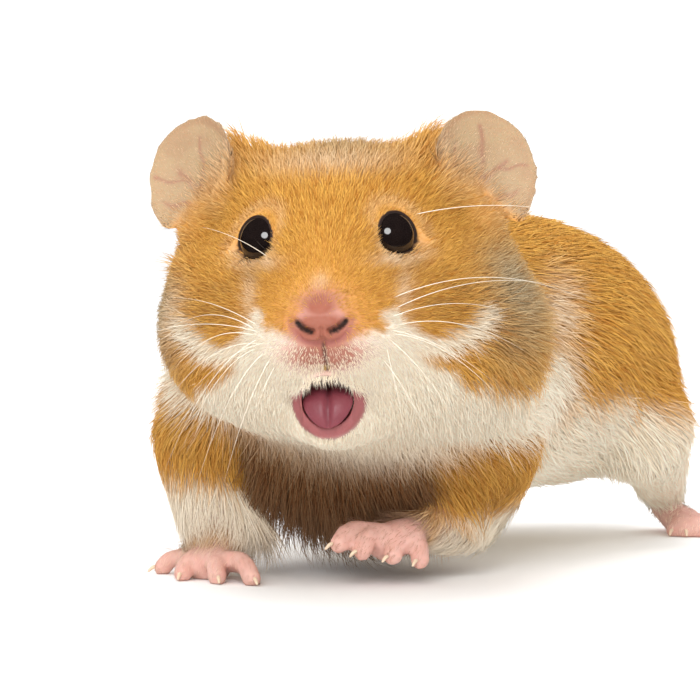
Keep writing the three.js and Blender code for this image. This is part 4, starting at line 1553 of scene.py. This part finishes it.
wetBumps = (2400, 0.25, 0.0002)
wetRadius = (0.0012, 0.0004, 0.0003)
putPiece("tongueFlesh", fromHead(tonguePoints(40, 48)), gridFaces(40, 48),
         mottled(makeFleshMaterial("tongueFlesh", 0.42, 0.15, wetRadius),
                 (0.19, 0.036, 0.05, 1), (0.26, 0.06, 0.075, 1), 500, 3, wetBumps),
         replaces=["tongue"])
made = [(toothPoints(16, 16, middle), gridFaces(16, 16)) for middle in teeth["middles"]]
points, faces = joinedShells(made)
putPiece("incisors", fromHead(points), faces,
         mottled(makeFleshMaterial("toothEnamel", 0.3, 0.15, wetRadius),
                 (0.36, 0.20, 0.06, 1), (0.50, 0.32, 0.12, 1), 500, 3, wetBumps),
         replaces=["upper_incisors"])
print("tongue and teeth")


# whiskers

whiskers = {  # root across and up on the face, tip in the head's frame, and how far the middle bows up
    "list": [
        ((-8.5, -12.5), (-27.0, 4, -13.4), 1.5), ((-8.8, -13.2), (-23.5, -2, -31.5), 3.0),
        ((-8.3, -14.0), (-24.5, 3, -24.0), 3.0), ((-8.0, -15.0), (-18.8, -4, -33.0), 2.5),
        ((-7.3, -16.0), (-14.8, -8, -33.0), 1.5), ((-8.9, -11.5), (-22.5, 3, -8.0), 1.0),
        ((-9.2, -12.0), (-20.5, -3, -11.4), 1.6), ((-7.6, -13.8), (-19.0, -5, -20.5), 1.2),
        ((-7.0, -17.0), (-10.5, -11, -25.0), 0.6), ((-9.4, -12.8), (-22.0, -2, -18.0), 2.2),
        ((-7.7, -2.8), (-16.5, -8, 1.6), 0.6), ((-9.0, -14.6), (-21.0, -1, -28.5), 2.6),
        ((8.8, -8.5), (36.0, 14, -11.5), 3.4), ((8.6, -12.5), (21.5, -4, -20.4), 1.2),
        ((8.0, -15.0), (9.8, -11, -24.5), -0.4), ((8.8, -11.0), (23.5, 0, -11.2), 1.4),
        ((9.0, -10.0), (31.5, 9, -8.6), 2.2), ((8.4, -14.0), (16.8, -8, -25.5), 1.0),
        ((7.4, -16.5), (13.5, -10, -28.0), 0.8), ((9.4, -12.0), (26.0, 2, -17.0), 2.0),
        ((12.4, 3.6), (34.5, 12, 1.0), 1.4), ((8.9, -13.2), (24.0, -1, -25.0), 2.4),
    ],
    "radius": 0.06,
    "steps": 26,
    "sides": 6,
}


def whiskerTubes():
    # each whisker is a round tube along a bowed line, tapering to its tip
    roots, tips, bows = (np.array(values, float) for values in zip(*whiskers["list"]))
    skinInHead = toHead(skinPoints)
    front = skinInHead[:, 1:2] < 2
    flat = np.where(front, skinInHead[:, [0, 2]], 1e3)
    start = skinInHead[[np.argmin(((flat - root) ** 2).sum(1)) for root in roots]]
    s = np.linspace(0, 1, whiskers["steps"])[None, :, None]
    line = start[:, None] + (tips - start)[:, None] * s
    line = line + bows[:, None, None] * 4 * s * (1 - s) * np.array([0, -0.35, 1.0])
    way = unit(np.gradient(line, axis=1))
    side = unit(np.cross(way, np.array([0.0, 0.3, 1.0])))
    other = np.cross(way, side)
    turn = np.linspace(0, 2 * math.pi, whiskers["sides"], endpoint=False)[:, None]
    thick = whiskers["radius"] * (1 - 0.92 * s) * np.minimum(1, np.minimum(s, 1 - s) * 200)
    ring = side[:, :, None] * np.cos(turn) + other[:, :, None] * np.sin(turn)
    points = line[:, :, None] + ring * thick[..., None]
    faces = gridFaces(whiskers["steps"], whiskers["sides"])
    faces = repeated(faces, len(roots), whiskers["steps"] * whiskers["sides"])
    return fromHead(points.reshape(-1, 3)), faces


points, faces = whiskerTubes()
putPiece("whiskers", points, faces,
         mottled(newMaterial("whiskerIvory", Roughness=0.35), (0.86, 0.76, 0.58, 1), (0.95, 0.90, 0.80, 1),
                 600, 3, (1800, 0.05, 0.0001)))
print("whiskers")


# claws: the CAD nodes that stay, with a material and a smooth surface

clawMaterial = mottled(newMaterial("clawHorn", Roughness=0.35), (0.80, 0.68, 0.47, 1), (0.72, 0.50, 0.38, 1),
                       700, 3, (2100, 0.1, 0.0001))
for name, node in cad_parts.items():
    if "claw" in name:
        for slot in node.material_slots:
            slot.material = clawMaterial
        weld = node.modifiers.new("joinedCorners", "WELD")
        weld.merge_threshold = 0.00001
        smooth = node.modifiers.new("smoothHorn", "SUBSURF")
        smooth.levels = smooth.render_levels = 2
        for polygon in node.data.polygons:
            polygon.use_smooth = True
print("claws")


# floor, light and camera

floorHalf = 3.0  # in metres
lamps = {  # in metres: place, point looked at, width; then the energy
    "keyLight": ((0.24, -0.62, 0.34), (0, -0.03, 0.04), 0.34, 2.3),
    "topLight": ((-0.1, 0.05, 0.85), (0, 0, 0.03), 0.7, 3.5),
}
room = (1.12, 1.3)  # strength of the white room: as a fill for all it lights, and as the camera sees it


def makeFloor():
    # one pale square under the feet
    corners = np.array([(x * floorHalf, y * floorHalf, 0) for x, y in ((-1, -1), (1, -1), (1, 1), (-1, 1))])
    floor = linked("floor", newMesh("floor", corners, np.array([[0, 1, 2, 3]])))
    made = newMaterial("paleFloor", Roughness=0.9, Specular_IOR_Level=0.0)
    floor.data.materials.append(mottled(made, (0.93, 0.93, 0.93, 1), (0.95, 0.95, 0.95, 1), 3, 2))
    floor.visible_glossy = False  # so that the eyes stay dark


def addSoftLight(name, place, target, size, energy):
    # a round lamp turned to the target
    data = bpy.data.lights.new(name, "AREA")
    data.shape, data.size, data.energy = "DISK", size, energy
    lamp = linked(name, data)
    lamp.location = place
    lamp.rotation_euler = (Vector(target) - Vector(place)).to_track_quat("-Z", "Y").to_euler()
    return lamp


def lightScene():
    # a white room that lights as a fill, and two round lamps
    world = bpy.data.worlds.new("studio")
    world.use_nodes = True
    tree = world.node_tree
    backdrop = tree.nodes["Background"]
    backdrop.inputs[0].default_value = (1, 1, 1, 1)
    seen = tree.nodes.new("ShaderNodeLightPath").outputs["Is Camera Ray"]
    tree.links.new(ranged(tree, seen, *room), backdrop.inputs[1])
    bpy.context.scene.world = world
    world.cycles_visibility.glossy = False
    made = {name: addSoftLight(name, *values) for name, values in lamps.items()}
    made["topLight"].visible_glossy = False


camera = {
    "fromEyes": (227.72, -422.44, 8.2),  # from the point between the eyes, in millimetres
    "azimuth": 28.0,
    "downward": 2.854,
    "lens": 182.57,
    "sensor": 36,
    "clip": (0.01, 20),
}


def placeCamera():
    # the lens looks along the azimuth, a little downward
    data = bpy.data.cameras.new("camera")
    data.lens, data.sensor_width = camera["lens"], camera["sensor"]
    data.clip_start, data.clip_end = camera["clip"]
    viewer = linked("camera", data)
    azimuth, down = math.radians(camera["azimuth"]), math.radians(camera["downward"])
    across, ahead = math.sin(azimuth) * math.cos(down), math.cos(azimuth) * math.cos(down)
    viewer.location = Vector((headOrigin + np.array(camera["fromEyes"])) * mm)
    viewer.rotation_euler = Vector((-across, ahead, -math.sin(down))).to_track_quat("-Z", "Y").to_euler()
    bpy.context.scene.camera = viewer


makeFloor()
lightScene()
placeCamera()
bpy.context.scene.view_settings.view_transform = "Standard"
print("stage set")
